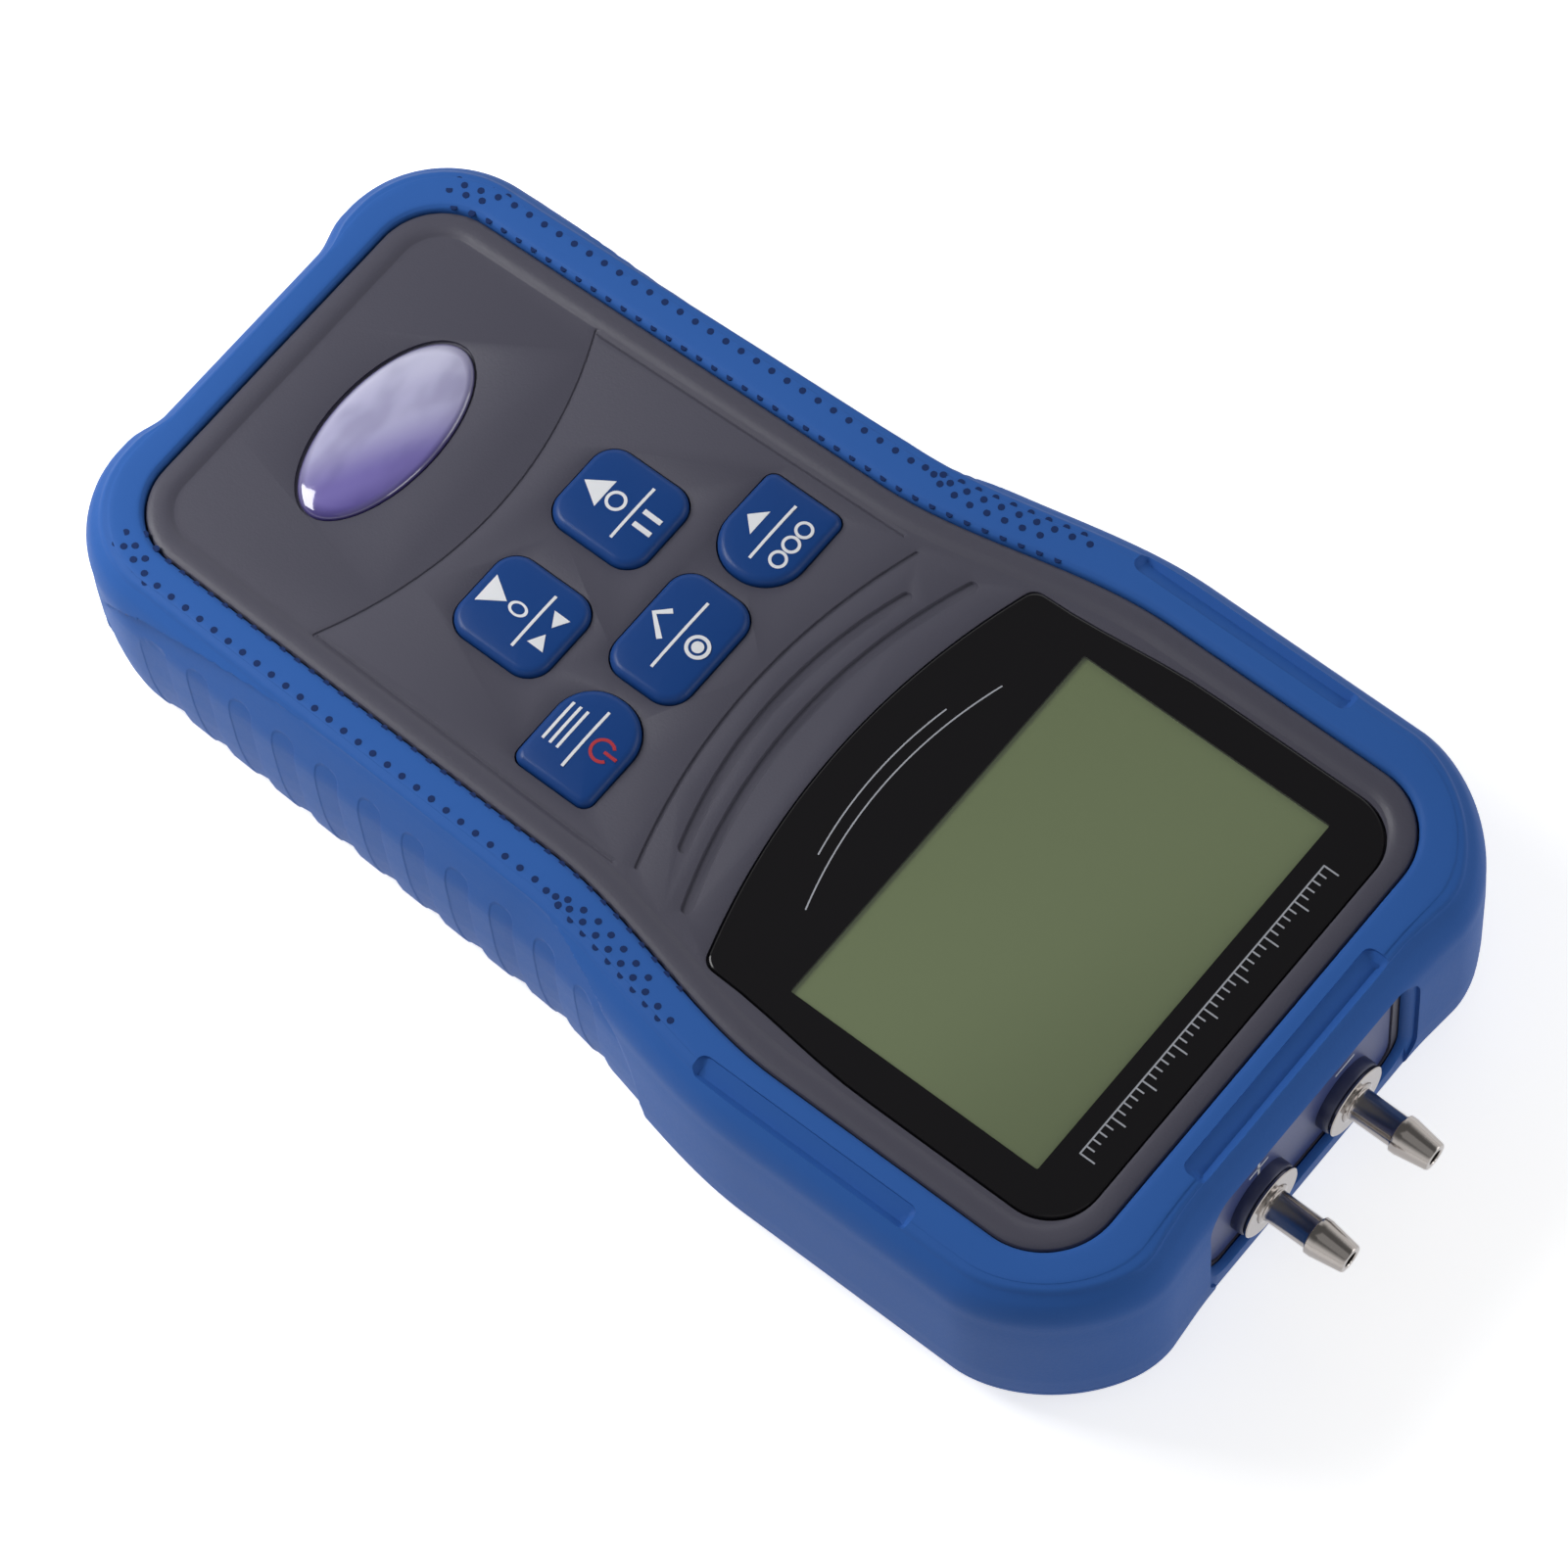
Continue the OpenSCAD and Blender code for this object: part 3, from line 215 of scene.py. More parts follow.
@dataclass
class Frame:
    """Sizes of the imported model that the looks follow."""

    datum: float = 23.88
    grip_reach: float = 120.7
    head_reach: float = 61.5
    tip_reach: float = 72.94
    body_t: float = 33.6
    lip_t: float = 2.8
    joint_z: float = 16.0
    port_drop: float = 20.7
    window_drop: float = 6.0
    bay_depth: float = 0.9
    end_bay_depth: float = 1.0
    head_w: float = 99.0
    grip_w: float = 86.4
    tail_w: float = 80.0
    tail_corner: float = 17.5
    nodes: dict[str, bpy.types.Object] = field(default_factory=dict)

    def read(self) -> None:
        """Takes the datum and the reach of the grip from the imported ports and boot."""
        self.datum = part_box("port_plus")[1][1] / MM - self.tip_reach
        self.grip_reach = self.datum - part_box("rubber_boot")[0][1] / MM

    @property
    def field_z(self) -> float:
        """Height of the face's flat field."""
        return self.body_t - 0.6

    @property
    def port_z(self) -> float:
        """Height of the ports' axes."""
        return self.body_t - self.port_drop

    @property
    def boot(self) -> Outline:
        """Outline of the boot."""
        return Outline(
            self.head_w / 2, self.grip_w / 2, self.tail_w / 2, self.head_reach,
            self.grip_reach - self.bay_depth, (20.0, 21.0), 1.75, self.tail_corner,
            grip_reach=self.grip_reach,
        )

    @property
    def face(self) -> Outline:
        """Outline of the grey face inside the boot's border."""
        return Outline(
            self.head_w / 2 - 9.0, self.grip_w / 2 - 9.4, self.tail_w / 2 - 8.2, self.head_reach - 10.2,
            self.grip_reach - 7.7, (10.75, 10.75), 2.0, 10.0, grip_reach=self.grip_reach,
        )


FRAME = Frame()


# Meshes


def ring_faces(rows: int, columns: int, close_rows: bool = False) -> Array:
    """Quads of a grid whose columns close on themselves; row by row, and the last row to the first if asked.

    The quad between rows j, j+1 and columns i, i+1 is (j,i) (j+1,i) (j+1,i+1) (j,i+1).
    """
    steps = rows if close_rows else rows - 1
    j, i = np.meshgrid(np.arange(steps), np.arange(columns), indexing="ij")
    jn, inn = (j + 1) % rows, (i + 1) % columns
    quads = np.stack([j * columns + i, jn * columns + i, jn * columns + inn, j * columns + inn], axis=-1)
    return quads.reshape(-1, 4)


@dataclass
class Shape:
    """Points in millimetres and the faces on them."""

    points: Array
    faces: list[list[int]]

    def __add__(self, other: Shape) -> Shape:
        """Two shapes in one mesh."""
        shift = len(self.points)
        return Shape(
            np.concatenate([self.points, other.points]),
            self.faces + [[k + shift for k in f] for f in other.faces],
        )


def joined(shapes: list[Shape]) -> Shape:
    """Several shapes in one mesh, in their order."""
    total = shapes[0]
    for shape in shapes[1:]:
        total = total + shape
    return total


def loft(rings: list[Array], capped: bool = True, closed: bool = False) -> Shape:
    """Surface through rings of equal length, each an array of x, y, z, counter-clockwise seen from above.

    Args:
        rings: the rings from the lowest to the highest.
        capped: closes the first and the last ring with a face.
        closed: joins the last ring to the first, as a ring-shaped body has it.

    Returns:
        The shape, its faces outwards.
    """
    count, columns = len(rings), len(rings[0])
    faces = [f[::-1] for f in ring_faces(count, columns, closed).tolist()]
    if capped and not closed:
        faces.append(list(range(columns))[::-1])
        faces.append([(count - 1) * columns + k for k in range(columns)])
    return Shape(np.concatenate(rings), faces)


def at_z(ring: Array, z: float | Array) -> Array:
    """A plan ring set at a height."""
    height = np.broadcast_to(np.asarray(z, dtype=float), (len(ring),))
    return np.concatenate([ring, height[:, None]], axis=1)


def ccw(ring: Array) -> Array:
    """The ring walked counter-clockwise seen from above."""
    nxt = np.roll(ring, -1, axis=0)
    area = np.sum(ring[:, 0] * nxt[:, 1] - nxt[:, 0] * ring[:, 1])
    return ring if area > 0 else ring[::-1]


def prism(ring: Array, low: float, high: float) -> Shape:
    """Prism over a plan ring."""
    plan = ccw(ring)
    return loft([at_z(plan, low), at_z(plan, high)])


def turned(profile: Array, steps: int = 96) -> Shape:
    """Solid of revolution about +Z: the profile's (radius, z) points swept round, joined end to start."""
    angle = np.linspace(0.0, 2 * np.pi, steps, endpoint=False)
    unit = np.stack([np.cos(angle), np.sin(angle)], axis=1)
    rings = [np.concatenate([unit * r, np.full((steps, 1), z)], axis=1) for r, z in profile]
    return loft(rings, closed=True)


def smooth_path(knots: Array, per_span: int) -> Array:
    """Cubic Hermite curve through knots, with tangents from the chord between each knot's neighbours.

    Args:
        knots: rows of values, one row to a knot.
        per_span: samples in each span.

    Returns:
        The sampled rows, the last knot included.
    """
    chord = np.linalg.norm(np.diff(knots[:, :3], axis=0), axis=1)
    where = np.concatenate([[0.0], np.cumsum(np.maximum(chord, 1e-6))])
    slope = np.gradient(knots, where, axis=0)
    t = np.linspace(0.0, 1.0, per_span, endpoint=False)[None, :, None]
    span = np.diff(where)[:, None, None]
    a, b, ta, tb = knots[:-1, None], knots[1:, None], slope[:-1, None] * span, slope[1:, None] * span
    curve = (
        (2 * t**3 - 3 * t**2 + 1) * a + (t**3 - 2 * t**2 + t) * ta
        + (3 * t**2 - 2 * t**3) * b + (t**3 - t**2) * tb
    )
    return np.concatenate([curve.reshape(-1, knots.shape[1]), knots[-1:]])


def add_mesh(name: str, shape: Shape, material: bpy.types.Material) -> bpy.types.Object:
    """Writes a shape as an object, moved from the plan's zero to the model's origin.

    Args:
        name: name of the object and its mesh.
        shape: points in millimetres, with y from the screen's lower edge.
        material: its finish.

    Returns:
        The new object, at the origin.
    """
    points = shape.points + [0.0, FRAME.datum, 0.0]
    mesh = bpy.data.meshes.new(name)
    mesh.from_pydata((points * MM).tolist(), [], shape.faces)
    mesh.validate()
    mesh.materials.append(material)
    item = bpy.data.objects.new(name, mesh)
    bpy.context.collection.objects.link(item)
    return item


def smooth(item: bpy.types.Object, degrees: float = 35.0) -> bpy.types.Object:
    """Shades an object smooth, with edges over an angle kept sharp."""
    mesh = item.data
    mesh.polygons.foreach_set("use_smooth", np.ones(len(mesh.polygons), dtype=bool))
    mesh.set_sharp_from_angle(angle=math.radians(degrees))
    return item


def cut(item: bpy.types.Object, tools: list[Shape]) -> None:
    """Cuts closed shapes out of an object with exact booleans and keeps the result as its mesh."""
    holders = [add_mesh(f"cutter_{k}", tool, item.data.materials[0]) for k, tool in enumerate(tools)]
    for holder in holders:
        step = item.modifiers.new(holder.name, "BOOLEAN")
        step.operation, step.solver, step.object = "DIFFERENCE", "EXACT", holder
    bake_modifiers(item)
    for holder in holders:
        bpy.data.objects.remove(holder, do_unlink=True)


def bake_modifiers(item: bpy.types.Object) -> None:
    """Keeps an object's evaluated mesh and drops its modifiers."""
    graph = bpy.context.evaluated_depsgraph_get()
    mesh = bpy.data.meshes.new_from_object(item.evaluated_get(graph), depsgraph=graph)
    item.modifiers.clear()
    item.data = mesh


def bevel(item: bpy.types.Object, width: float, segments: int = 2, degrees: float = 40.0) -> None:
    """Rounds the edges over an angle by a width in millimetres."""
    step = item.modifiers.new("edge_round", "BEVEL")
    step.width, step.segments, step.limit_method = width * MM, segments, "ANGLE"
    step.angle_limit, step.use_clamp_overlap, step.miter_outer = math.radians(degrees), True, "MITER_ARC"
    bake_modifiers(item)


# Finishes


def add_node(tree: bpy.types.NodeTree, kind: str, links: dict | None = None, **values) -> bpy.types.Node:
    """Adds a node with its settings and links.

    Args:
        tree: the material's node tree.
        kind: the node's type name.
        links: input name or index to the output socket that feeds it.
        values: settings of the node, or values of its inputs by name with spaces as underscores.

    Returns:
        The node.
    """
    node = tree.nodes.new(kind)
    for key, value in values.items():
        plain = key.replace("_", " ")
        socket = next((s for s in node.inputs if s.name.lower() == plain.lower()), None)
        if hasattr(node, key) and (socket is None or key in {"operation", "blend_type"}):
            setattr(node, key, value)
        elif socket is not None:
            socket.default_value = value
        else:
            raise KeyError(f"{kind} has no {key}")
    for key, source in (links or {}).items():
        tree.links.new(source, node.inputs[key])
    return node


def set_inputs(node: bpy.types.Node, **values: float | tuple[float, ...]) -> None:
    """Sets inputs of a node by name, with spaces as underscores."""
    for key, value in values.items():
        node.inputs[key.replace("_", " ")].default_value = value


def principled(name: str) -> tuple[bpy.types.Material, bpy.types.NodeTree, bpy.types.Node]:
    """A new material with its node tree and its Principled shader."""
    material = bpy.data.materials.new(name)
    material.use_nodes = True
    return material, material.node_tree, material.node_tree.nodes["Principled BSDF"]


@dataclass(frozen=True)
class Finish:
    """A moulded finish: colour, gloss and the grain that its mould or process leaves.

    grain_mm is the width of one grain, grain_depth the height of its relief in millimetres, and
    tint the share by which the colour drifts over tens of millimetres.
    """

    name: str
    colour: str
    roughness: float
    grain_mm: float = 0.4
    grain_depth: float = 0.012
    tint: float = 0.04
    metallic: float = 0.0
    coat: float = 0.0
    specular: float = 0.5
    drift_mm: float = 22.0
    ior: float = 1.5

    def build(self) -> bpy.types.Material:
        """Makes the material: noise grain as bump, a slow colour drift and a slight change of gloss."""
        material = bpy.data.materials.new(self.name)
        material.use_nodes = True
        tree = material.node_tree
        shader = tree.nodes["Principled BSDF"]
        shader.inputs["Metallic"].default_value = self.metallic
        shader.inputs["Coat Weight"].default_value = self.coat
        shader.inputs["Coat Roughness"].default_value = 0.04
        shader.inputs["Specular IOR Level"].default_value = self.specular
        if not self.metallic:
            shader.inputs["IOR"].default_value = self.ior
        place = add_node(tree, "ShaderNodeTexCoord").outputs["Object"]
        slow = add_node(
            tree, "ShaderNodeTexNoise", {"Vector": place}, Scale=1 / (self.drift_mm * MM), Detail=2.0,
        )
        base, light = srgb(self.colour), 1 + self.tint
        low = tuple(c * (1 - self.tint) for c in base[:3]) + (1.0,)
        high = tuple(min(1.0, c * light) for c in base[:3]) + (1.0,)
        colour = add_node(
            tree, "ShaderNodeMix", {0: slow.outputs["Fac"]}, data_type="RGBA",
        )
        colour.inputs[6].default_value, colour.inputs[7].default_value = low, high
        tree.links.new(colour.outputs[2], shader.inputs["Base Color"])
        fine = add_node(
            tree, "ShaderNodeTexNoise", {"Vector": place}, Scale=1 / (self.grain_mm * MM), Detail=3.0,
        )
        gloss = add_node(tree, "ShaderNodeMapRange", {"Value": fine.outputs["Fac"]})
        gloss.inputs["To Min"].default_value = max(0.02, self.roughness - 0.05)
        gloss.inputs["To Max"].default_value = min(1.0, self.roughness + 0.05)
        tree.links.new(gloss.outputs["Result"], shader.inputs["Roughness"])
        relief = add_node(tree, "ShaderNodeBump", {"Height": fine.outputs["Fac"]}, Strength=1.0)
        relief.inputs["Distance"].default_value = self.grain_depth * MM
        tree.links.new(relief.outputs["Normal"], shader.inputs["Normal"])
        return material


class Finishes:
    """Every finish of the instrument, made once."""

    def __init__(self) -> None:
        """Builds the materials."""
        # Thermoplastic rubber, injection moulded: matt, a little sheen, soft highlights
        self.boot = Finish("moulded_tpe_blue", "#3463AE", 0.52, 0.5, 0.02, 0.03, specular=0.1).build()
        # Painted shade: the rubber's blue darkened for the shade deep in a pinhole, laid on the border as
        # small dark discs
        self.pinhole_shade = Finish("shaded_tpe_blue", "#182F60", 0.8, 0.3, 0.01, 0.03, specular=0.2).build()
        # ABS from a spark-eroded mould: an even fine grain that breaks up highlights
        self.case = Finish("spark_eroded_abs_grey", "#4C4B58", 0.46, 0.35, 0.03, 0.03, specular=0.35).build()
        # Silicone keys, moulded and lacquered: satin
        self.key = Finish("lacquered_silicone_blue", "#154081", 0.36, 0.4, 0.012, 0.04, specular=0.22).build()
        # Back-printed acrylic: deep black under a smooth gloss
        self.window = Finish(
            "back_printed_acrylic", "#1A191B", 0.12, 0.6, 0.002, 0.02, specular=0.25, ior=1.49,
        ).build()
        # ABS from a polished mould: satin
        self.panel = Finish("satin_abs_slate", "#434F82", 0.42, 0.35, 0.015, 0.04, specular=0.4).build()
        # Turned nylon: dark and softly glossy
        self.collar = Finish("dark_nylon", "#2C3254", 0.4, 0.4, 0.01, 0.04).build()
        # Bright nickel on turned brass: mirror-like with faint turning rings
        self.nickel = Finish("bright_nickel_plate", "#ACA6A2", 0.16, 0.25, 0.002, 0.02, metallic=1.0).build()
        # Turned brass: warm, with a dulled shine
        self.brass = Finish("turned_brass", "#B8995A", 0.3, 0.3, 0.004, 0.03, metallic=1.0).build()
        # Zinc-plated steel: pale grey, half matt
        self.steel = Finish("zinc_plated_steel", "#9A9A9C", 0.34, 0.3, 0.004, 0.03, metallic=1.0).build()
        # Nitrile rubber, moulded: dull black
        self.seal = Finish("black_nitrile", "#1B1B1D", 0.6, 0.4, 0.01, 0.03).build()
        # Off-white ABS, moulded: plain and matt
        self.light = Finish("moulded_off_white_abs", "#D0CFC8", 0.45, 0.35, 0.012, 0.03).build()
        # Glass-fibre board under solder mask: a varnish gloss
        self.board = Finish("green_solder_mask", "#1E5A38", 0.35, 0.8, 0.006, 0.1).build()
        # Moulded epoxy: black with a fine matt skin
        self.chip = Finish("black_epoxy_moulding", "#17171A", 0.5, 0.35, 0.012, 0.03).build()
        # Silicone mat, moulded: cloudy grey
        self.web = Finish("translucent_silicone_grey", "#8C8C90", 0.5, 0.4, 0.01, 0.04).build()
        # Silicone hose, extruded: milky and smooth
        self.hose = Finish("clear_silicone_hose", "#D8D8D0", 0.32, 0.5, 0.006, 0.03).build()
        # Painted steel can: dark and smooth
        self.can = Finish("painted_battery_can", "#33343A", 0.35, 0.5, 0.004, 0.03).build()
        # Screen-printed inks: flat, the white slightly off white
        self.white = Finish("printed_ink_white", "#E6E8EC", 0.55, 0.3, 0.004, 0.02).build()
        self.pale = Finish("printed_ink_grey", "#A9ACB4", 0.55, 0.3, 0.004, 0.02).build()
        self.red = Finish("printed_ink_red", "#B02A38", 0.5, 0.3, 0.004, 0.02).build()
        self.lcd = self.liquid_crystal()
        self.pane = self.clear_acrylic()
        self.badge = self.domed_resin()

    @staticmethod
    def graded(
        name: str, stops: list[tuple[float, str]], turn: float, span: tuple[float, float],
        centre: tuple[float, float],
    ) -> tuple:
        """A Principled material whose colour runs along one direction of the plan.

        Args:
            name: name of the material.
            stops: place along the run and colour, from one end to the other.
            turn: direction of the run, degrees from +X.
            span: where the run starts and ends, in millimetres from the centre.
            centre: plan point that the run is centred on.

        Returns:
            The material, its shader and its tree.
        """
        material = bpy.data.materials.new(name)
        material.use_nodes = True
        tree = material.node_tree
        shader = tree.nodes["Principled BSDF"]
        place = add_node(tree, "ShaderNodeTexCoord").outputs["Object"]
        direction = (math.cos(math.radians(turn)), math.sin(math.radians(turn)), 0.0)
        moved = add_node(tree, "ShaderNodeVectorMath", {0: place}, operation="SUBTRACT")
        moved.inputs[1].default_value = (centre[0] * MM, (centre[1] + FRAME.datum) * MM, 0.0)
        run = add_node(tree, "ShaderNodeVectorMath", {0: moved.outputs[0]}, operation="DOT_PRODUCT")
        run.inputs[1].default_value = direction
        share = add_node(tree, "ShaderNodeMapRange", {"Value": run.outputs["Value"]})
        share.inputs["From Min"].default_value = span[0] * MM
        share.inputs["From Max"].default_value = span[1] * MM
        ramp = add_node(tree, "ShaderNodeValToRGB", {"Fac": share.outputs["Result"]})
        ramp.color_ramp.interpolation = "EASE"
        while len(ramp.color_ramp.elements) < len(stops):
            ramp.color_ramp.elements.new(0.5)
        for element, (where, colour) in zip(ramp.color_ramp.elements, stops):
            element.position, element.color = where, srgb(colour)
        tree.links.new(ramp.outputs["Color"], shader.inputs["Base Color"])
        return material, shader, tree

    def liquid_crystal(self) -> bpy.types.Material:
        """Reflective liquid crystal display: grey-green film, slightly lighter across its middle and darker
        towards the port end, with a satin front.
        """
        material, shader, _ = self.graded(
            "reflective_liquid_crystal", [(0.0, "#69764F"), (0.55, "#6D7A54"), (1.0, "#636F4B")], 70.0,
            (-28.0, 28.0), (0.0, 19.8),
        )
        shader.inputs["Roughness"].default_value = 0.35
        shader.inputs["Specular IOR Level"].default_value = 0.1
        return material

    def clear_acrylic(self) -> bpy.types.Material:
        """Clear front pane: nearly unseen, with a faint gloss."""
        material, _, shader = principled("clear_acrylic")
        shader.inputs["Base Color"].default_value = srgb("#E8EFE6")
        shader.inputs["Roughness"].default_value = 0.05
        shader.inputs["IOR"].default_value = 1.49
        shader.inputs["Alpha"].default_value = 0.03
        return material

    def domed_resin(self) -> bpy.types.Material:
        """Clear domed resin over violet foil with a hard gloss: the foil's deep violet on the near side,
        paled towards the far side by a painted reflection.
        """
        # Painted reflection: the pale stops at the far side stand for light that the dome reflects; the deep
        # stops keep the foil's violet on the near side
        material, shader, tree = self.graded(
            "domed_resin_over_violet_foil",
            [(0.0, "#CBCBE4"), (0.42, "#B8B6D8"), (0.74, "#7A70B4"), (1.0, "#4A3F8E")], 60.0,
            (-11.5, 12.5), (0.0, 27.5 - FRAME.grip_reach),
        )
        # A deep violet rim where the dome is thin, and soft clouds in the foil
        place = add_node(tree, "ShaderNodeTexCoord").outputs["Object"]
        middle = add_node(tree, "ShaderNodeVectorMath", {0: place}, operation="SUBTRACT")
        middle.inputs[1].default_value = (0.0, (27.5 - FRAME.grip_reach + FRAME.datum) * MM, 0.0)
        scaled = add_node(tree, "ShaderNodeVectorMath", {0: middle.outputs[0]}, operation="MULTIPLY")
        scaled.inputs[1].default_value = (1 / (15.6 * MM), 1 / (7.6 * MM), 0.0)
        reach = add_node(tree, "ShaderNodeVectorMath", {0: scaled.outputs[0]}, operation="LENGTH")
        rim = add_node(
            tree, "ShaderNodeMapRange", {"Value": reach.outputs["Value"]}, interpolation_type="SMOOTHSTEP",
        )
        for name, value in (("From Min", 0.86), ("From Max", 0.99), ("To Min", 0.0), ("To Max", 0.8)):
            rim.inputs[name].default_value = value
        cloud = add_node(tree, "ShaderNodeTexNoise", {"Vector": scaled.outputs[0]}, Scale=1.3, Detail=2.0)
        soft = add_node(
            tree, "ShaderNodeMapRange", {"Value": cloud.outputs["Fac"]}, interpolation_type="SMOOTHSTEP",
        )
        for name, value in (("From Min", 0.42), ("From Max", 0.68), ("To Min", 0.0), ("To Max", 0.25)):
            soft.inputs[name].default_value = value
        most = add_node(
            tree, "ShaderNodeMath", {0: rim.outputs["Result"], 1: soft.outputs["Result"]},
            operation="MAXIMUM",
        )
        # Painted reflection: this graded colour is the foil paled towards the far side
        foil_with_painted_reflection = shader.inputs["Base Color"].links[0].from_socket
        tone = add_node(tree, "ShaderNodeMix", {0: most.outputs[0], 6: foil_with_painted_reflection}, data_type="RGBA")
        tone.inputs[7].default_value = srgb("#3E3472")
        tree.links.new(tone.outputs[2], shader.inputs["Base Color"])
        shader.inputs["Roughness"].default_value = 0.12
        shader.inputs["Coat Weight"].default_value = 1.0
        shader.inputs["Coat Roughness"].default_value = 0.02
        return material


# Sub-assemblies


@dataclass
class RubberBoot:
    """The moulded boot: a ring-shaped shell with a rolled border, slots, a port window and grip scallops."""

    finishes: Finishes
    crown: float = 0.7
    flange: float = 9.0
    floor_t: float = 2.4
    wall: float = 3.0
    round_d: float = 5.5
    round_z: float = 7.0
    scallops: int = 11
    scallop_from: float = -19.0
    pitch: float = 7.7
    scallop_r: float = 1.95
    arch_top: float = 28.3
    slot_depth: float = 1.15
    cutout_w: float = 40.4
    side_top: float = 33.95
    parting_z: float = 6.3
    parting_depth: float = 0.12
    # Inset of the grip's barrel-shaped side at heights from the foot up to the step under the border
    barrel: tuple[tuple[float, float], ...] = (
        (0.0, 5.8), (0.56, 4.1), (1.8, 2.4), (2.5, 2.0), (4.2, 1.45), (7.0, 0.95), (9.0, 0.7), (12.0, 0.4),
        (16.0, 0.22), (22.0, 0.2), (24.5, 0.3), (26.0, 0.6), (27.8, 1.1), (29.0, 1.42),
        (30.5, 1.85), (32.0, 2.3),
        (33.9, 3.0),
    )
    # The step line: place along the grip and height, from the tail corner to the waist
    step_line: tuple[tuple[float, float], ...] = (
        (-114.0, 0.0), (-113.2, 6.0), (-112.4, 13.0), (-111.2, 19.5), (-109.5, 23.4), (-105.5, 27.8),
        (-100.0, 30.4),
        (-92.75, 31.8), (-84.0, 32.7), (-70.0, 33.4), (-52.0, 33.75), (-36.0, 33.6), (-29.6, 33.1),
        (-25.4, 32.2),
        (-21.8, 31.0), (-18.75, 29.0), (-16.4, 26.4), (-15.0, 23.6), (-13.9, 19.5), (-13.2, 14.0),
        (-12.8, 7.0),
        (-12.5, 0.0),
    )

    def shares(self) -> Array:
        """Places along the side: the head, then the scallops with points close to their edges."""
        boot = FRAME.boot
        top, low = boot.up - boot.corner[1], boot.tail_radius - boot.down
        head = np.linspace(top, -11.8, 36)[1:]
        waist = np.linspace(-12.1, self.scallop_from + 0.2, 20)
        half = np.array([0.05, 0.1, 0.15, 0.19, 0.214, 0.228, 0.238, 0.247, 0.256, 0.266, 0.282, 0.33, 0.41])
        inner = np.concatenate([0.5 - half[::-1], [0.5], 0.5 + half])
        grip = self.scallop_from - self.pitch * (np.arange(self.scallops)[:, None] + inner).ravel()
        return (top - np.concatenate([head, waist, grip[grip > low + 0.1]])) / (top - low)

    def lines(self) -> tuple[Array, Array]:
        """The boot's and the face's right halves with matching points."""
        shares = self.shares()
        edge = self.cutout_w / 2
        top_xs = np.concatenate([
            np.linspace(0.8, edge - 4, 12, endpoint=False), np.linspace(edge - 4, edge + 4, 12),
        ])
        top_xs = top_xs[top_xs < 28.5]
        tail_xs = np.linspace(24.0, 0.8, 20)
        boot, face = FRAME.boot, FRAME.face
        boot_flat = boot.half_width(np.array(boot.tail_radius - boot.down)) - boot.tail_radius
        face_flat = float(face.half_width(np.array(-110.0))) - 10.0
        boot_tail = tail_xs * boot_flat / 24.5
        return (
            boot.half(shares, 30, 36, top_xs, boot_tail),
            face.half(shares, 30, 36, top_xs, tail_xs * face_flat / 24.5),
        )

    def knots(self) -> tuple[Array, Array]:
        """Section of the boot: share of the way to the face, inset, height, a spare value and bay share.

        Returns:
            The smooth outside from the border's inner edge to the flange, and the straight inside.
        """
        body, crown = FRAME.body_t, FRAME.body_t + self.crown
        side = body - 5.0
        shoulder, d, z = body - FRAME.lip_t, self.round_d, self.round_z
        outside = np.array([
            [1.0, 0.0, body - 0.12 * FRAME.lip_t, 0, 0], [0.955, 0.0, mix(body, crown, 0.35), 0, 0],
            [0.87, 0.0, mix(body, crown, 0.8), 0, 0],
            [0.68, 0.0, crown, 0, 0.2], [0.3, 0.22 * d, mix(body, crown, 0.86), 0, 1.0],
            [0.0, 0.52 * d, mix(body, crown, 0.3), 0, 1.5],
            [0.0, 0.26 * d, mix(side, body, 0.72), 0, 1.6], [0.0, 0.08 * d, mix(side, body, 0.3), 0, 1.3],
            [0.0, 0.02 * d, mix(FRAME.joint_z, side, 0.8), 0, 1],
            [0.0, 0.0, mix(FRAME.joint_z, side, 0.5), 0, 1], [0.0, 0.0, mix(z, FRAME.joint_z, 0.4), 0, 1],
            [0.0, 0.14 * d, 0.6 * z, 0, 1], [0.0, 0.38 * d, 0.26 * z, 0, 1],
            [0.0, 0.7 * d, 0.08 * z, 0, 1], [0.0, 1.05 * d, 0.0, 0, 1],
        ], dtype=float)
        inside = np.array([
            [0.0, self.flange, 0.0, 0, 0], [0.0, self.flange, self.floor_t, 0, 0],
            [0.0, self.wall + 0.4 * d, self.floor_t, 0, 0], [0.0, self.wall, z, 0, 0],
            [0.0, self.wall, shoulder + 0.2, 0, 0], [1.0, 0.0, shoulder + 0.2, 0, 0],
        ], dtype=float)
        return outside, inside

    def section(self) -> Array:
        """The section's rows, smoothed outside and cut finer down the side, where the grip's relief lies."""
        outside, inside = self.knots()
        curve = smooth_path(outside, 5)
        curve[:, :2] = np.maximum(curve[:, :2], 0.0)
        level = -curve[:, 2]
        first = int(np.argmax((curve[:, 0] == 0.0) & (curve[:, 2] < self.side_top)))
        last = int(np.argmax(curve[:, 2] < 2.0))
        heights = np.concatenate([
            np.arange(33.76, 30.4, -0.24), np.arange(30.2, 29.0, -0.4), np.arange(28.9, 25.8, -0.24),
            np.arange(25.4, 13.0, -0.85), np.arange(12.6, 6.8, -0.62),
            [6.5, 6.3, 6.1], np.arange(5.6, 2.1, -0.62),
        ])
        part = slice(first, last + 1)
        side = np.stack([np.interp(-heights, level[part], curve[part, k]) for k in range(5)], axis=1)
        side[:, 0], side[:, 2] = 0.0, heights
        return np.concatenate([curve[:first], side, curve[last:], inside])

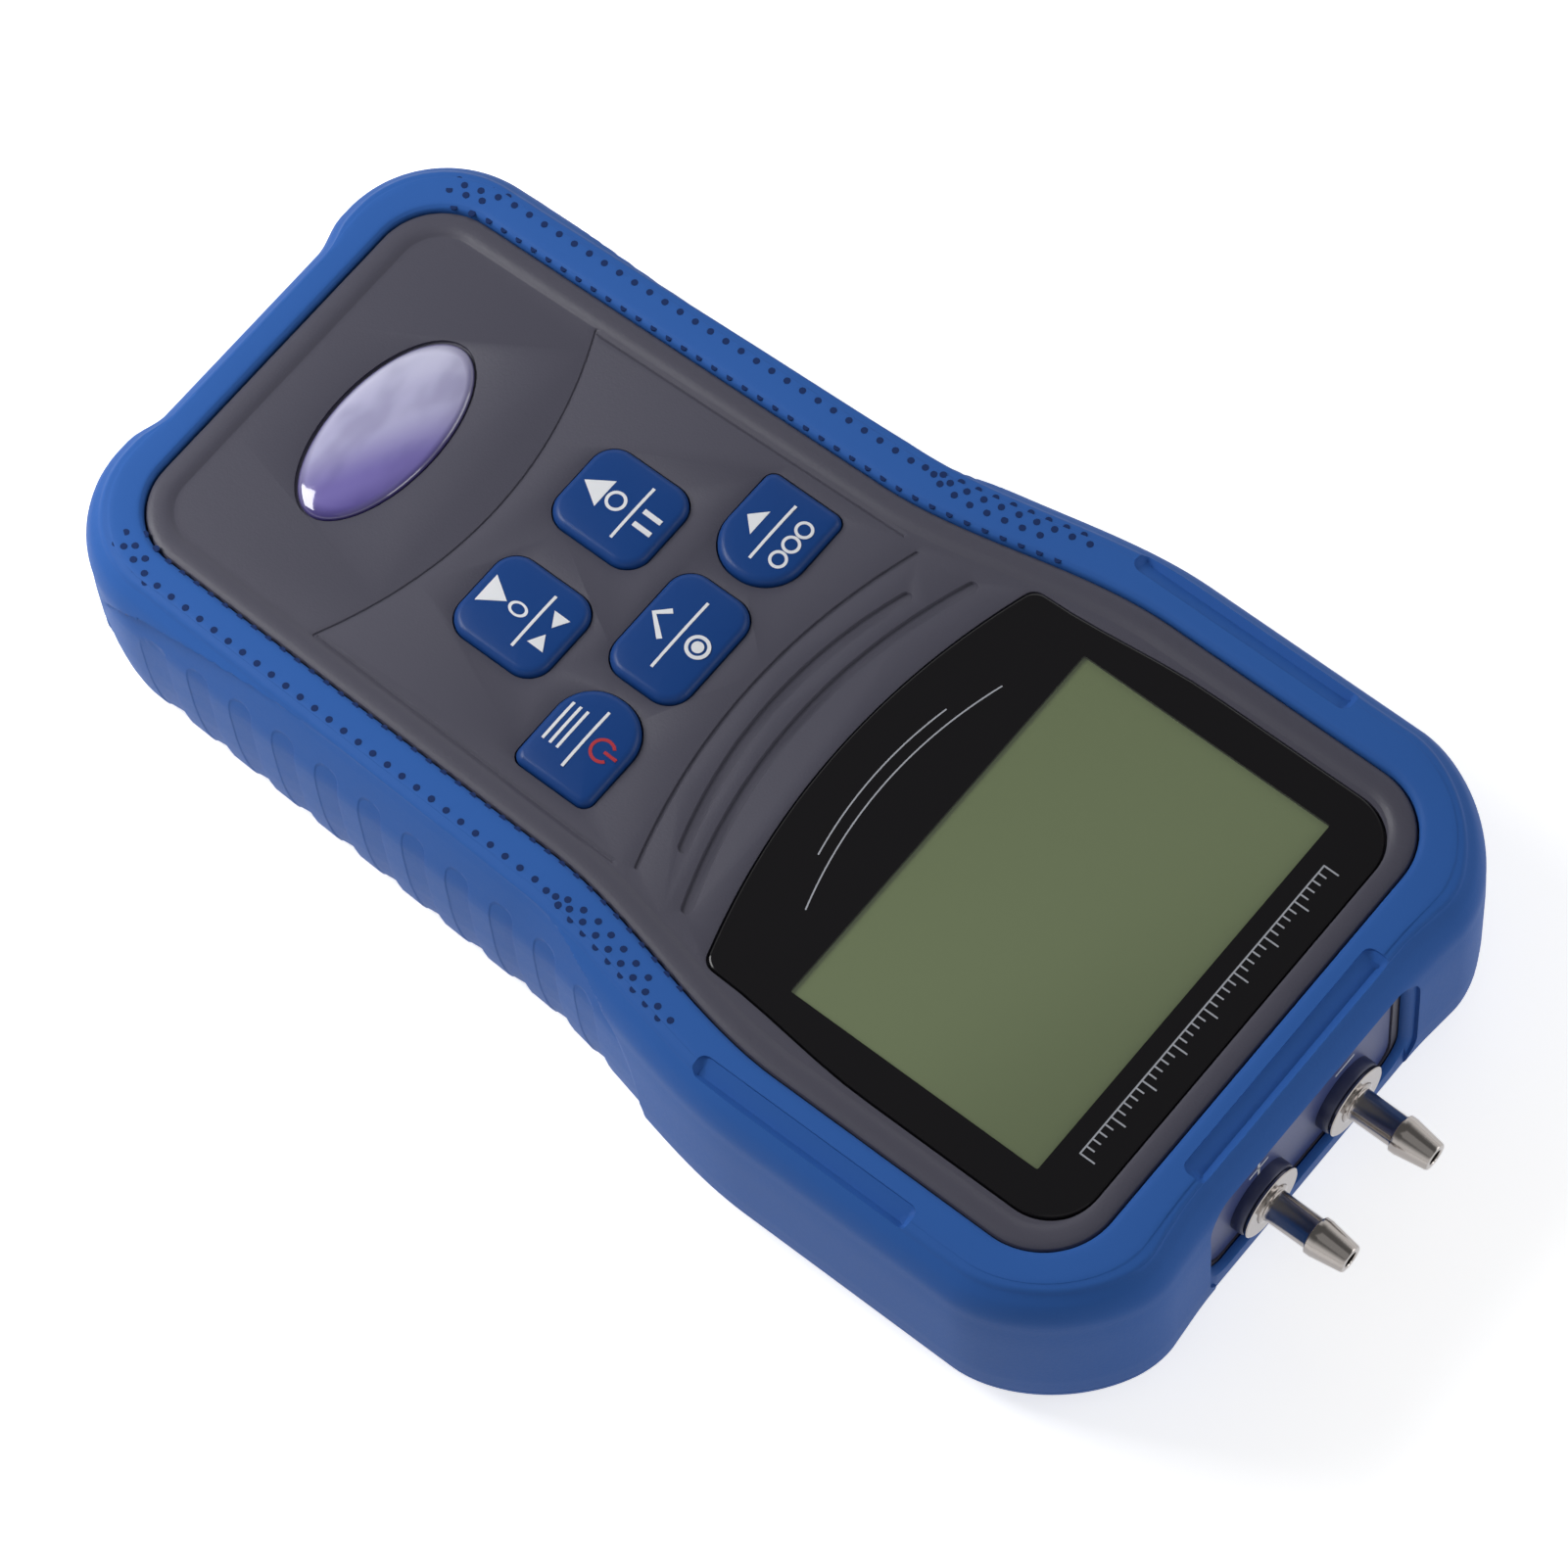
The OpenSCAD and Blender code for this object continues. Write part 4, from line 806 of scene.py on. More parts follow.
    def grip_inset(self, y: Array, z: float, plain: float) -> Array:
        """Inset of the side at a height: the plain one with its parting line, or the barrel's.

        The step line runs under the border and falls to the back at the waist and round the tail corner.
        A scallop is an upright capsule open at its foot, deepest at its foot and at its tail side: depth
        (0.42 to 0.72 mm) times a share that falls from 1 at the tail side to 0.2 at the head side.
        """
        track = smooth_path(np.array([(a, b, 0.0) for a, b in self.step_line]), 8)
        line = np.interp(y, track[:, 0], track[:, 1])
        rise = np.gradient(track[:, 1], track[:, 0] + 1e-9 * np.arange(len(track)))
        steep = np.interp(y, track[:, 0], rise)
        under = ease((line - z) / (0.3 * np.hypot(1.0, steep)) + 0.5)
        heights, insets = np.array(self.barrel).T
        place = (self.scallop_from - y) / self.pitch
        local = (place - np.floor(place) - 0.5) * self.pitch
        live = (place > 0) & (place < self.scallops)
        top = np.minimum(self.arch_top, line - 5.0) - self.scallop_r
        distance = np.hypot(local, np.maximum(0.0, z - top)) - self.scallop_r
        share = mix(1.0, 0.2, (local + self.scallop_r) / (2 * self.scallop_r))
        deep = 0.42 + 0.3 * float(ease((16.0 - z) / 13.0))
        scoop = np.where(live, deep * share * ease(0.5 - distance / 0.26), 0.0)
        parting = self.parting_depth if abs(z - self.parting_z) < 0.05 else 0.0
        return mix(plain + parting, np.interp(z, heights, insets) + scoop, under)

    def bay(self, x: Array, y: Array) -> Array:
        """How far the end walls are drawn in between their corners, as a depth along Y."""
        edge = self.cutout_w / 2
        end = FRAME.end_bay_depth * (1 - ease((x - edge) / 16.0))
        tail = FRAME.bay_depth * ease((x - 15.5) / 6.0)
        return np.where(y > FRAME.head_reach - 21.0, end, np.where(y < -FRAME.grip_reach + 22.0, tail, 0.0))

    def slots(self) -> list[Shape]:
        """Cutters of the border's slots, whose floors fall from the face and rise to the outer edge."""
        top = FRAME.body_t + self.crown
        shapes = []
        for x, y, width, height in (
            (0.0, 55.7, 38.5, 3.9), (45.35, 14.4, 3.6, 34.8), (-45.35, 14.4, 3.6, 34.8),
        ):
            wide = min(width, height)
            rings = []
            for share in (0.04, 0.2, 0.36, 0.5, 0.7, 0.86, 1.0):
                off = wide / 2 * (1 - share)
                radius = max(0.02, 1.3 - off)
                plan = rounded_box(width - 2 * off, height - 2 * off, radius, radius, 8)
                across, along = plan.T[::-1] if x == 0.0 else (plan[:, 0] * np.sign(x), plan[:, 1])
                depth = np.interp(across / wide, (-0.5, 0.02, 0.1, 0.5), (0.3, 1.3, 1.45, 0.42))
                end = np.clip((max(width, height) / 2 - np.abs(along)) / 0.9, 0.0, 1.0)
                rings.append(at_z(plan + [x, y], top - mix(0.3, depth, end) * self.slot_depth))
            rings.append(at_z(rounded_box(width + 0.2, height + 0.2, 1.4, 1.4, 8) + [x, y], top + 1.0))
            shapes.append(loft(rings))
        return shapes

    def surface(self) -> Shape:
        """The shell as a closed grid: the section swept round the outline, with its relief."""
        line, face = self.lines()
        normal = inward(line)
        rings = []
        section = self.section()
        outside = int(np.argmax(section[:, 1] == self.flange))
        for row, (share, depth, z, _, bay) in enumerate(section):
            side = share == 0.0 and z < self.side_top and row < outside
            inset_by = self.grip_inset(line[:, 1], z, depth) if side else np.full(len(line), depth)
            plan = mix(line, face, share) + normal * inset_by[:, None]
            plan = plan - np.stack([np.zeros(len(line)), bay * self.bay(line[:, 0], line[:, 1])], axis=1)
            ring = mirrored(plan)
            rings.append(at_z(ring, z))
        return loft(rings, closed=True)

    def window(self) -> list[Shape]:
        """The port window as a prism along Y through the end wall, and the strip set back below it."""
        low, high = FRAME.port_z - FRAME.window_drop, FRAME.body_t - FRAME.lip_t - 1.2
        ring = rounded_box(self.cutout_w, high - low, 4.5, 4.5, 12) + [0.0, (low + high) / 2]
        strip = rounded_box(self.cutout_w, low + 5.5, 0.2, 0.2, 2) + [0.0, low / 2 + 1.75]
        set_back = FRAME.head_reach - FRAME.end_bay_depth - 0.9
        # The opening's outer edge is rounded at its sides and foot: the cutter flares by a quarter circle
        start, flare = FRAME.head_reach - FRAME.end_bay_depth - 2.1, 1.5
        opening = along_y(ring, 55.0, start)
        rings = [opening.points[len(ring):], opening.points[: len(ring)]]
        middle = np.array([0.0, 0.0, (low + high) / 2])
        spread = np.minimum(np.sign(rings[0] - middle) * [1.0, 0.0, 0.6], [1.0, 0.0, 0.0])
        for angle in np.radians(np.linspace(10.0, 90.0, 7)):
            step = rings[1] + spread * flare * (1 - math.cos(angle)) + [0.0, flare * math.sin(angle), 0.0]
            rings.append(step)
        rings.append(rings[-1] + [0.0, 3.0, 0.0])
        return [loft(rings[::-1]), along_y(strip, set_back, FRAME.head_reach + 2.0)]

    def pinholes(self) -> Shape:
        """Rows of pinholes, each a small dark disc of painted shade just proud of the border: one along the
        middle of the border, one on its seam, fans at waist and tail.
        """
        boot, face = FRAME.boot, FRAME.face
        rows = []
        run = np.arange(-104.0, -33.0, 2.55)
        rows.append((run, np.full(len(run), 0.52)))
        for share, low, high in ((0.34, -33.0, -8.0), (0.54, -31.5, -6.5), (0.72, -30.0, -13.0)):
            run = np.arange(low, high, 2.5)
            rows.append((run, mix(np.full(len(run), 0.52), share, ease((run + 36.0) / 12.0))))
        for share, low, high in ((0.33, -110.0, -103.0), (0.52, -108.8, -105.0), (0.7, -110.0, -104.5)):
            run = np.arange(low, high, 2.3)
            rows.append((run, np.full(len(run), share)))
        run = np.arange(-108.0, -9.0, 2.55)
        rows.append((run, np.full(len(run), 0.95)))
        y = np.concatenate([r[0] for r in rows])
        share = np.concatenate([r[1] for r in rows])
        border = smooth_path(self.knots()[0], 5)[::-1]
        border = border[(border[:, 0] > 0.02) & (border[:, 2] > FRAME.body_t)]
        depth, z = (np.interp(share, border[:, 0], border[:, k]) for k in (1, 2))
        x = mix(boot.half_width(y), face.half_width(y), share) - depth
        corner = np.maximum(0.0, -y - 102.0)
        x, z = x - 0.11 * corner**1.35, z + 0.03
        angle = np.linspace(0.0, 2 * np.pi, 10, endpoint=False)
        centre = np.stack([np.concatenate([x, -x]), np.concatenate([y, y]), np.concatenate([z, z])], axis=1)
        circle = np.stack([np.cos(angle), np.sin(angle), np.zeros(10)], axis=1)
        top = centre[:, None, :] + 0.5 * circle[None]
        low = centre[:, None, :] + 0.5 * circle[None] - [0.0, 0.0, 0.25]
        points = np.concatenate([low, top], axis=1).reshape(-1, 3)
        faces = []
        for k in range(len(centre)):
            first = 20 * k
            faces.append([first + 10 + i for i in range(10)])
            faces.append([first + 9 - i for i in range(10)])
            faces += [
                [first + i, first + (i + 1) % 10, first + 10 + (i + 1) % 10, first + 10 + i]
                for i in range(10)
            ]
        return Shape(points, faces)

    def build(self) -> list[bpy.types.Object]:
        """Makes the boot and the painted shade of its pinholes."""
        boot = add_mesh("boot_shell", self.surface(), self.finishes.boot)
        cut(boot, self.window() + self.slots())
        smooth(boot, 30.0)
        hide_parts("rubber_boot")
        # Painted shade: the pinholes are dark discs laid on the border, not cut holes
        hole_shade = smooth(add_mesh("boot_pinhole_shade", self.pinholes(), self.finishes.pinhole_shade))
        return [boot, hole_shade]


def along_y(ring: Array, start: float, end: float) -> Shape:
    """Prism along Y over a ring given as x, z pairs."""
    plan = ccw(ring)
    first = np.stack([plan[:, 0], np.full(len(plan), start), plan[:, 1]], axis=1)
    last = first + [0.0, end - start, 0.0]
    return loft([last, first])


def bowed_band(
    half: float, y_end: float, sag: float, width: float, low: float, high: float,
    spread: float = 0.0, lean: float = 0.0,
) -> Shape:
    """Prism over a bowed band with round ends, lowest at its middle by the sag.

    Args:
        half: half length along x.
        y_end: y of its two ends.
        sag: drop of the middle below the ends.
        width: width of the band.
        low: lower height.
        high: upper height.
        spread: extra width at the upper height, for sloped walls.
        lean: shift of the lower height along y.

    Returns:
        The closed shape.
    """
    t = np.linspace(-1.0, 1.0, 41)
    middle = np.stack([half * t, y_end - sag * (1 - t**2)], axis=1)
    slope = np.stack([np.full(41, half), 2 * sag * t], axis=1)
    slope /= np.linalg.norm(slope, axis=1, keepdims=True)
    across = np.stack([-slope[:, 1], slope[:, 0]], axis=1)
    angle = np.radians(np.linspace(90.0, -90.0, 9))[1:-1, None]
    rings = []
    for z, wide in ((low, width / 2), (high, width / 2 + spread)):
        right = middle[-1] + wide * (np.sin(angle) * across[-1] + np.cos(angle) * slope[-1])
        left = middle[0] + wide * (np.sin(-angle) * across[0] - np.cos(angle) * slope[0])
        ring = np.concatenate([middle + across * wide, right, (middle - across * wide)[::-1], left])
        rings.append(at_z(ring[::-1] + [0.0, lean if z == low else 0.0], z))
    return loft(rings)


@dataclass
class FrontCase:
    """The grey front half: shell, raised rim, field with its grooves, and the openings."""

    finishes: Finishes
    keypad: Keypad
    window: Window
    badge: Badge
    wall: float = 2.2
    face_t: float = 2.4
    groove_d: float = 0.45
    boot_in: float = 3.2
    rim_in: float = 0.25

    def shell(self) -> Shape:
        """Closed shell: outer wall, shoulder, rolled rim, field, and the hollow behind them."""
        shares = np.linspace(0.0, 1.0, 92)[1:-1]
        boot, face = FRAME.boot, FRAME.face
        top = np.linspace(0.8, 28.0, 14)
        tail = np.linspace(22.0, 0.8, 12)
        outer = boot.half(shares, 24, 20, top, tail)
        inner = face.half(shares, 24, 20, top, tail)
        body, under = FRAME.body_t, FRAME.field_z - self.face_t
        shoulder = body - FRAME.lip_t

        def ring(line: Array, depth: float, z: float) -> Array:
            """Closed ring of a right half, drawn in by a depth, at a height."""
            return at_z(mirrored(inset(line, depth))[::-1], z)

        rim = [
            (0.25, 1.0), (0.27, 0.62), (0.45, 0.3), (0.8, 0.1), (1.3, 0.02), (1.9, 0.0), (2.5, 0.03),
            (3.0, 0.12),
            (3.4, 0.28), (3.7, 0.45), (3.9, 0.58), (4.0, 0.6), (4.6, 0.6),
        ]
        rings = [
            ring(outer, self.boot_in, FRAME.joint_z), ring(outer, self.boot_in, shoulder),
            ring(inner, self.rim_in, shoulder),
        ]
        rings += [ring(inner, depth, body - drop) for depth, drop in rim]
        hollow = [
            ring(inner, self.wall + self.rim_in, under),
            ring(inner, self.wall + self.rim_in, shoulder - self.wall),
            ring(outer, self.boot_in + self.wall, shoulder - self.wall),
            ring(outer, self.boot_in + self.wall, FRAME.joint_z),
        ]
        skin = loft(rings, capped=False)
        lining = loft(hollow, capped=False)
        count, n = len(rings), len(rings[0])
        base = count * n
        shape = skin + lining
        shape.faces.append([(count - 1) * n + k for k in range(n)])
        shape.faces.append([base + k for k in range(n)][::-1])
        last = base + 3 * n
        shape.faces += [[last + i, last + (i + 1) % n, (i + 1) % n, i][::-1] for i in range(n)]
        return shape

    def grooves(self) -> list[Shape]:
        """Cutters of the grooves between window and keys, the keypad's side lines and the arc below."""
        floor, top = FRAME.field_z - self.groove_d, FRAME.field_z + 0.6
        bands = [
            bowed_band(29.0, -17.7, 5.5, 1.5, floor, top, 0.35),
            bowed_band(22.6, -23.5, 3.8, 1.5, floor, top, 0.35),
            bowed_band(28.5, -26.5, 4.7, 0.5, floor + 0.15, top, 0.35),
            bowed_band(28.6, -80.8, -6.9, 0.1, FRAME.field_z - 0.24, FRAME.field_z + 0.05, 0.4, -0.3),
        ]
        for side in Side:
            s = side.value
            line = ccw(np.array([
                [s * 29.75, -29.5], [s * 29.65, -29.5], [s * 28.35, -80.6], [s * 28.45, -80.6],
            ]))
            wide = ccw(np.array([[s * 30.2, -29.2], [s * 29.2, -29.2], [s * 27.9, -80.9], [s * 28.9, -80.9]]))
            order = [int(np.argmin(np.hypot(*(wide - point).T))) for point in line]
            bands.append(loft([at_z(line, FRAME.field_z - 0.27), at_z(wide[order], FRAME.field_z + 0.05)]))
        return bands

    def build(self) -> list[bpy.types.Object]:
        """Makes the shell and cuts its openings."""
        case = add_mesh("front_housing", self.shell(), self.finishes.case)
        tools = [prism(k.ring(0.2), FRAME.field_z - 4, FRAME.body_t + 1) for k in self.keypad.keys]
        tools.append(prism(self.window.line(0.25), self.window.mask_z, FRAME.body_t + 1))
        display = rounded_box(67.4, 47.05, 1, 1, 4) + [0, 19.825]
        tools.append(prism(display, FRAME.field_z - 4, FRAME.body_t - 1.9))
        tools.append(prism(self.badge.ring(0.42) - [0.12, 0.2], FRAME.field_z - 0.5, FRAME.body_t + 1))
        low, high = FRAME.port_z - FRAME.window_drop, FRAME.body_t - FRAME.lip_t - 1.65
        hole = rounded_box(38.0, high - low, 3.3, 3.3, 8) + [0.0, (low + high) / 2]
        tools.append(along_y(hole, 54.5, 61.0))
        cut(case, tools)
        cut(case, self.grooves())
        bevel(case, 0.18)
        smooth(case, 24.0)
        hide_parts("front_case")
        return [case]


@dataclass
class Key:
    """One key: plan, corner radii and crown."""

    node: str
    centre: tuple[float, float]
    size: tuple[float, float]
    right: float
    left: float

    def ring(self, grow: float, steps: int = 14) -> Array:
        """Plan ring of the key, grown by a gap."""
        ring = rounded_box(
            self.size[0] + 2 * grow, self.size[1] + 2 * grow, max(0.1, self.right + grow),
            max(0.1, self.left + grow), steps,
        )
        return ring + self.centre

    def dome(self, x: Array, y: Array, crown: float) -> Array:
        """Height of the crowned top under its peak: a paraboloid that falls by the crown at the sides."""
        u = (x - self.centre[0]) * 2 / self.size[0]
        v = (y - self.centre[1]) * 2 / self.size[1]
        return -crown * (u**2 + v**2) / 2


@dataclass
class Keypad:
    """The five rubber keys and their printed marks."""

    finishes: Finishes
    rise: float = 1.5
    crown: float = 0.72
    edge: float = 1.1
    foot_z: float = 28.8
    skirt_z: tuple[float, float] = (29.3, 30.3)
    column_z: tuple[float, float] = (25.9, 29.4)
    keys: list[Key] = field(default_factory=lambda: [
        Key("key_unit", (-19.0, -42.9), (15.1, 12.6), 6.0, 1.6),
        Key("key_record", (0.0, -42.9), (17.9, 12.6), 3.6, 3.6),
        Key("key_menu", (19.0, -42.9), (15.1, 12.6), 1.6, 6.0),
        Key("key_hold", (-10.0, -61.2), (14.1, 15.4), 3.6, 3.6),
        Key("key_zero", (10.0, -61.2), (14.1, 15.4), 3.6, 3.6),
    ])

    def top_z(self, key: Key, x: Array, y: Array) -> Array:
        """Height of a key's top at plan points inside its rounded edge."""
        return FRAME.field_z + self.rise + key.dome(x, y, self.crown)

    def cap(self, key: Key) -> Shape:
        """Key body: foot, skirt, upright side, quarter-round edge and crowned top."""
        ring = key.ring(0.0)
        centre = np.array(key.centre)
        top = FRAME.field_z + self.rise
        edge = self.edge
        rings = [at_z(ring, self.foot_z), at_z(ring, top - self.crown - edge)]
        for angle in np.radians(np.linspace(12.0, 90.0, 7)):
            grow = -edge * (1 - math.cos(angle))
            plan = key.ring(grow)
            height = self.top_z(key, plan[:, 0], plan[:, 1]) - edge * (1 - math.sin(angle))
            rings.append(at_z(plan, np.minimum(height, top)))
        base = key.ring(-edge)
        for share in (0.82, 0.62, 0.42, 0.22, 0.06):
            plan = centre + (base - centre) * share
            rings.append(at_z(plan, self.top_z(key, plan[:, 0], plan[:, 1])))
        body = loft(rings)
        skirt = prism(key.ring(1.0), *self.skirt_z)
        column = prism(key.ring(-1.0), *self.column_z)
        return body + skirt + column

    def marks(self) -> dict[str, list[tuple[Shape, bpy.types.Material]]]:
        """Signs printed on each key, with their inks."""
        signs = {
            "key_unit": [
                bar(0, 0.1, 9.6, 0.42), *(ring_mark(x, 3.2, 1.3, 0.42) for x in (-2.7, 0.0, 2.7)),
                arrow(0.0, -3.1, 4.2, 2.2, 180),
            ],
            "key_record": [
                bar(0, 0.1, 11.6, 0.42), ring_mark(0.0, 3.1, 1.75, 0.5), disc(0.0, 3.1, 0.85),
                tick(0.0, -3.0, 4.2),
            ],
            "key_menu": [bar(0, 0.1, 9.6, 0.42), *(bar(0, y, 6.4, 0.42) for y in (-2.1, -3.3, -4.5))],
            "key_hold": [
                bar(0, 2.1, 9.0, 0.42), *(bar(x, 4.6, 0.75, 2.9) for x in (-1.1, 1.1)),
                ring_mark(0.0, -0.7, 1.5, 0.45), arrow(0.0, -4.3, 4.6, 3.6, 180),
            ],
            "key_zero": [
                bar(0, 2.1, 9.0, 0.42), arrow(-1.7, 4.6, 2.6, 2.2, 90), arrow(1.7, 4.6, 2.6, 2.2, -90),
                ring_mark(0.0, -0.6, 1.45, 0.45, 0.0, 0.72), arrow(0.0, -4.3, 4.6, 3.6, 0),
            ],
        }
        inked = {node: [(sign, self.finishes.white) for sign in found] for node, found in signs.items()}
        power = (ring_mark(0.0, 2.9, 1.8, 0.45, 40.0), bar(0.0, 4.2, 0.45, 2.0))
        inked["key_menu"] += [(sign, self.finishes.red) for sign in power]
        return inked

    def printed(self, key: Key, flat: Shape, name: str, ink: bpy.types.Material) -> bpy.types.Object:
        """Lays a flat mark on a key's crown."""
        points = flat.points.copy()
        lift = points[:, 2].copy()
        points[:, :2] += key.centre
        points[:, 2] = self.top_z(key, points[:, 0], points[:, 1]) + lift
        return add_mesh(name, Shape(points, flat.faces), ink)

    def build(self) -> list[bpy.types.Object]:
        """Makes the keys and their marks; each mark rides on its key."""
        made = []
        marks = self.marks()
        for key in self.keys:
            body = smooth(add_mesh(f"{key.node}_cap", self.cap(key), self.finishes.key), 40.0)
            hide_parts(key.node)
            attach(body, f"{key.node}_body")
            made.append(body)
            for number, (flat, ink) in enumerate(marks[key.node]):
                mark = self.printed(key, flat, f"{key.node}_mark_{number}", ink)
                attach(mark, f"{key.node}_body")
                made.append(mark)
        return made


def thin(ring: Array, filled: bool = False) -> Shape:
    """Thin closed plate of ink over a plan ring, its heights counted from the surface.

    Args:
        ring: the plan.
        filled: True for a convex plan, whose top is cut into rings so that it can follow a crown.

    Returns:
        The closed plate.
    """
    plan = ccw(ring)
    middle = plan.mean(axis=0)
    shares = (0.7, 0.4, 0.05) if filled else ()
    inner = [at_z(middle + (plan - middle) * share, INK_TOP) for share in shares]
    return loft([at_z(plan, INK_TOP - INK_T), at_z(plan, INK_TOP), *inner])


def bar(x: float, y: float, width: float, height: float) -> Shape:
    """Printed bar, lofted along its long side in steps so that it can follow a crown."""
    across, foot = min(width, height) / 2, INK_TOP - INK_T
    section = np.array([[-across, foot], [across, foot], [across, INK_TOP], [-across, INK_TOP]])
    rings = []
    for t in np.linspace(-0.5, 0.5, 9):
        if width >= height:
            columns = [np.full(4, x + width * t), y + section[:, 0], section[:, 1]]
        else:
            columns = [x + section[::-1, 0], np.full(4, y + height * t), section[::-1, 1]]
        rings.append(np.stack(columns, axis=1))
    return loft(rings)


def disc(x: float, y: float, radius: float) -> Shape:
    """Printed disc."""
    angle = np.linspace(0.0, 2 * np.pi, 24, endpoint=False)
    return thin(np.stack([x + radius * np.cos(angle), y + radius * np.sin(angle)], axis=1), filled=True)


def ring_mark(
    x: float, y: float, radius: float, width: float, gap: float = 0.0, squash: float = 1.0,
) -> Shape:
    """Printed ring, open at its top by `gap` degrees to each side, drawn narrower along x by `squash`."""
    angle = np.radians(np.linspace(90.0 + gap, 450.0 - gap - 1e-3, 41))
    unit = np.stack([squash * np.cos(angle), np.sin(angle)], axis=1)
    outer, inner = unit * radius + [x, y], unit * (radius - width) + [x, y]
    return thin(np.concatenate([outer, inner[::-1]]))


def arrow(x: float, y: float, width: float, height: float, turn: float) -> Shape:
    """Printed triangle that points up, turned clockwise by an angle in degrees."""
    corners = np.array([[-width / 2, -height / 2], [width / 2, -height / 2], [0.0, height / 2]])
    t = np.linspace(0.0, 1.0, 6, endpoint=False)[:, None]
    ring = np.concatenate([mix(corners[k], corners[(k + 1) % 3], t) for k in range(3)])
    a = math.radians(-turn)
    spin = np.array([[math.cos(a), -math.sin(a)], [math.sin(a), math.cos(a)]])
    return thin(ring @ spin.T + [x, y], filled=True)


def tick(x: float, y: float, width: float) -> Shape:
    """Printed check mark of two strokes."""
    line = np.array([[-0.5, 0.05], [-0.12, -0.33], [0.5, 0.33]]) * width + [x, y]
    wide = 0.13 * width
    ring = np.array([
        line[0] + [wide / 2, wide / 2], line[0] - [wide / 2, wide / 2], line[1] - [0, wide * 1.2],
        line[2] + [wide / 2, -wide / 2], line[2] + [-wide / 2, wide / 2], line[1] + [0, wide * 0.2],
    ])
    return thin(ring)


@dataclass
class Window:
    """The display window, its printed border, the clear pane and the liquid crystal film behind it."""

    finishes: Finishes
    half_w: float = 35.6
    top: float = 47.8
    low: float = 9.3
    sag: float = 7.3
    radius: float = 7.5
    foot_r: float = 2.2
    thick: float = 1.5
    view: tuple[float, float] = (60.0, 39.65)

    @property
    def lens_z(self) -> float:
        """Height of the window's underside."""
        return FRAME.field_z + 0.3 - self.thick

    @property
    def mask_z(self) -> float:
        """Height of the printed film's underside."""
        return self.lens_z - 0.2

    def line(self, grow: float) -> Array:
        """Plan ring: straight top, sides drawn in below, and a bowed lower edge."""
        w, top, low = self.half_w + grow, self.top + grow, -self.low - grow
        foot = w - 0.027 * 2 * self.half_w
        angle = np.radians(np.linspace(90.0, 0.0, 17))
        upper = arc(w - self.radius, top - self.radius, self.radius, angle)
        t = np.linspace(0.0, 1.0, 12)[1:-1]
        y = mix(top - self.radius, low, t)
        side = np.stack([mix(w, foot, ease((16.7 - y) / 26.0)), y], axis=1)
        angle = np.radians(np.linspace(0.0, -75.0, 9))
        lower = arc(foot - self.foot_r, low, self.foot_r, angle)
        reach = lower[-1, 0]
        x = np.linspace(reach, 0.0, 26)[1:-1]
        bow = np.stack([x, lower[-1, 1] - (self.sag - self.foot_r) * (1 - (x / reach) ** 2)], axis=1)
        half = np.concatenate([upper, side, lower, bow])
        return mirrored(half)[::-1]

    def build(self) -> list[bpy.types.Object]:
        """Makes the printed border with its clear opening, the pane and the film."""
        top = self.lens_z + self.thick
        ring = self.line(0.0)
        centre = np.array([0.0, 17.0])

        def shrunk(amount: float) -> Array:
            """The ring drawn towards the centre by an amount in millimetres."""
            return centre + (ring - centre) * (1 - amount / 36.0)

        border = add_mesh(
            "window_border", loft([
                at_z(ring, self.lens_z), at_z(ring, top - 0.25), at_z(shrunk(0.08), top - 0.07),
                at_z(shrunk(0.25), top),
            ]),
            self.finishes.window,
        )
        view = rounded_box(*self.view, 0.3, 0.3, 3) + [0.0, self.view[1] / 2]
        cut(border, [prism(view, self.lens_z - 1, top + 1)])
        smooth(border, 10.0)
        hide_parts("display_window")
        wide, high = self.view
        film_box = rounded_box(wide - 0.04, high - 0.04, 0.3, 0.3, 3) + [0.0, high / 2]
        film = add_mesh("crystal_film", prism(film_box, self.lens_z - 0.15, top - 0.55), self.finishes.lcd)
        pane = add_mesh("window_pane", prism(film_box, top - 0.2, top - 0.02), self.finishes.pane)
        return [border, film, pane, *self.scale(top)]

    def scale(self, top: float) -> list[bpy.types.Object]:
        """Plain tick scale printed above the screen and two bowed lines below it."""
        lengths = {k: 2.2 if k % 5 == 0 else 1.2 for k in range(-20, 21)}
        ticks = [bar(1.25 * k, 42.6 + long / 2, 0.22, long) for k, long in lengths.items()]
        scale = joined([*ticks, bar(0.0, 42.5, 50.2, 0.22)])
        scale.points[:, 2] += top
        low = bowed_band(20.0, -5.6, 3.2, 0.2, top - 0.05, top + 0.03)
        second = bowed_band(13.0, -9.2, 1.4, 0.2, top - 0.05, top + 0.03)
        return [
            add_mesh("window_scale", scale, self.finishes.pale),
            add_mesh("window_lines", low + second, self.finishes.pale),
        ]


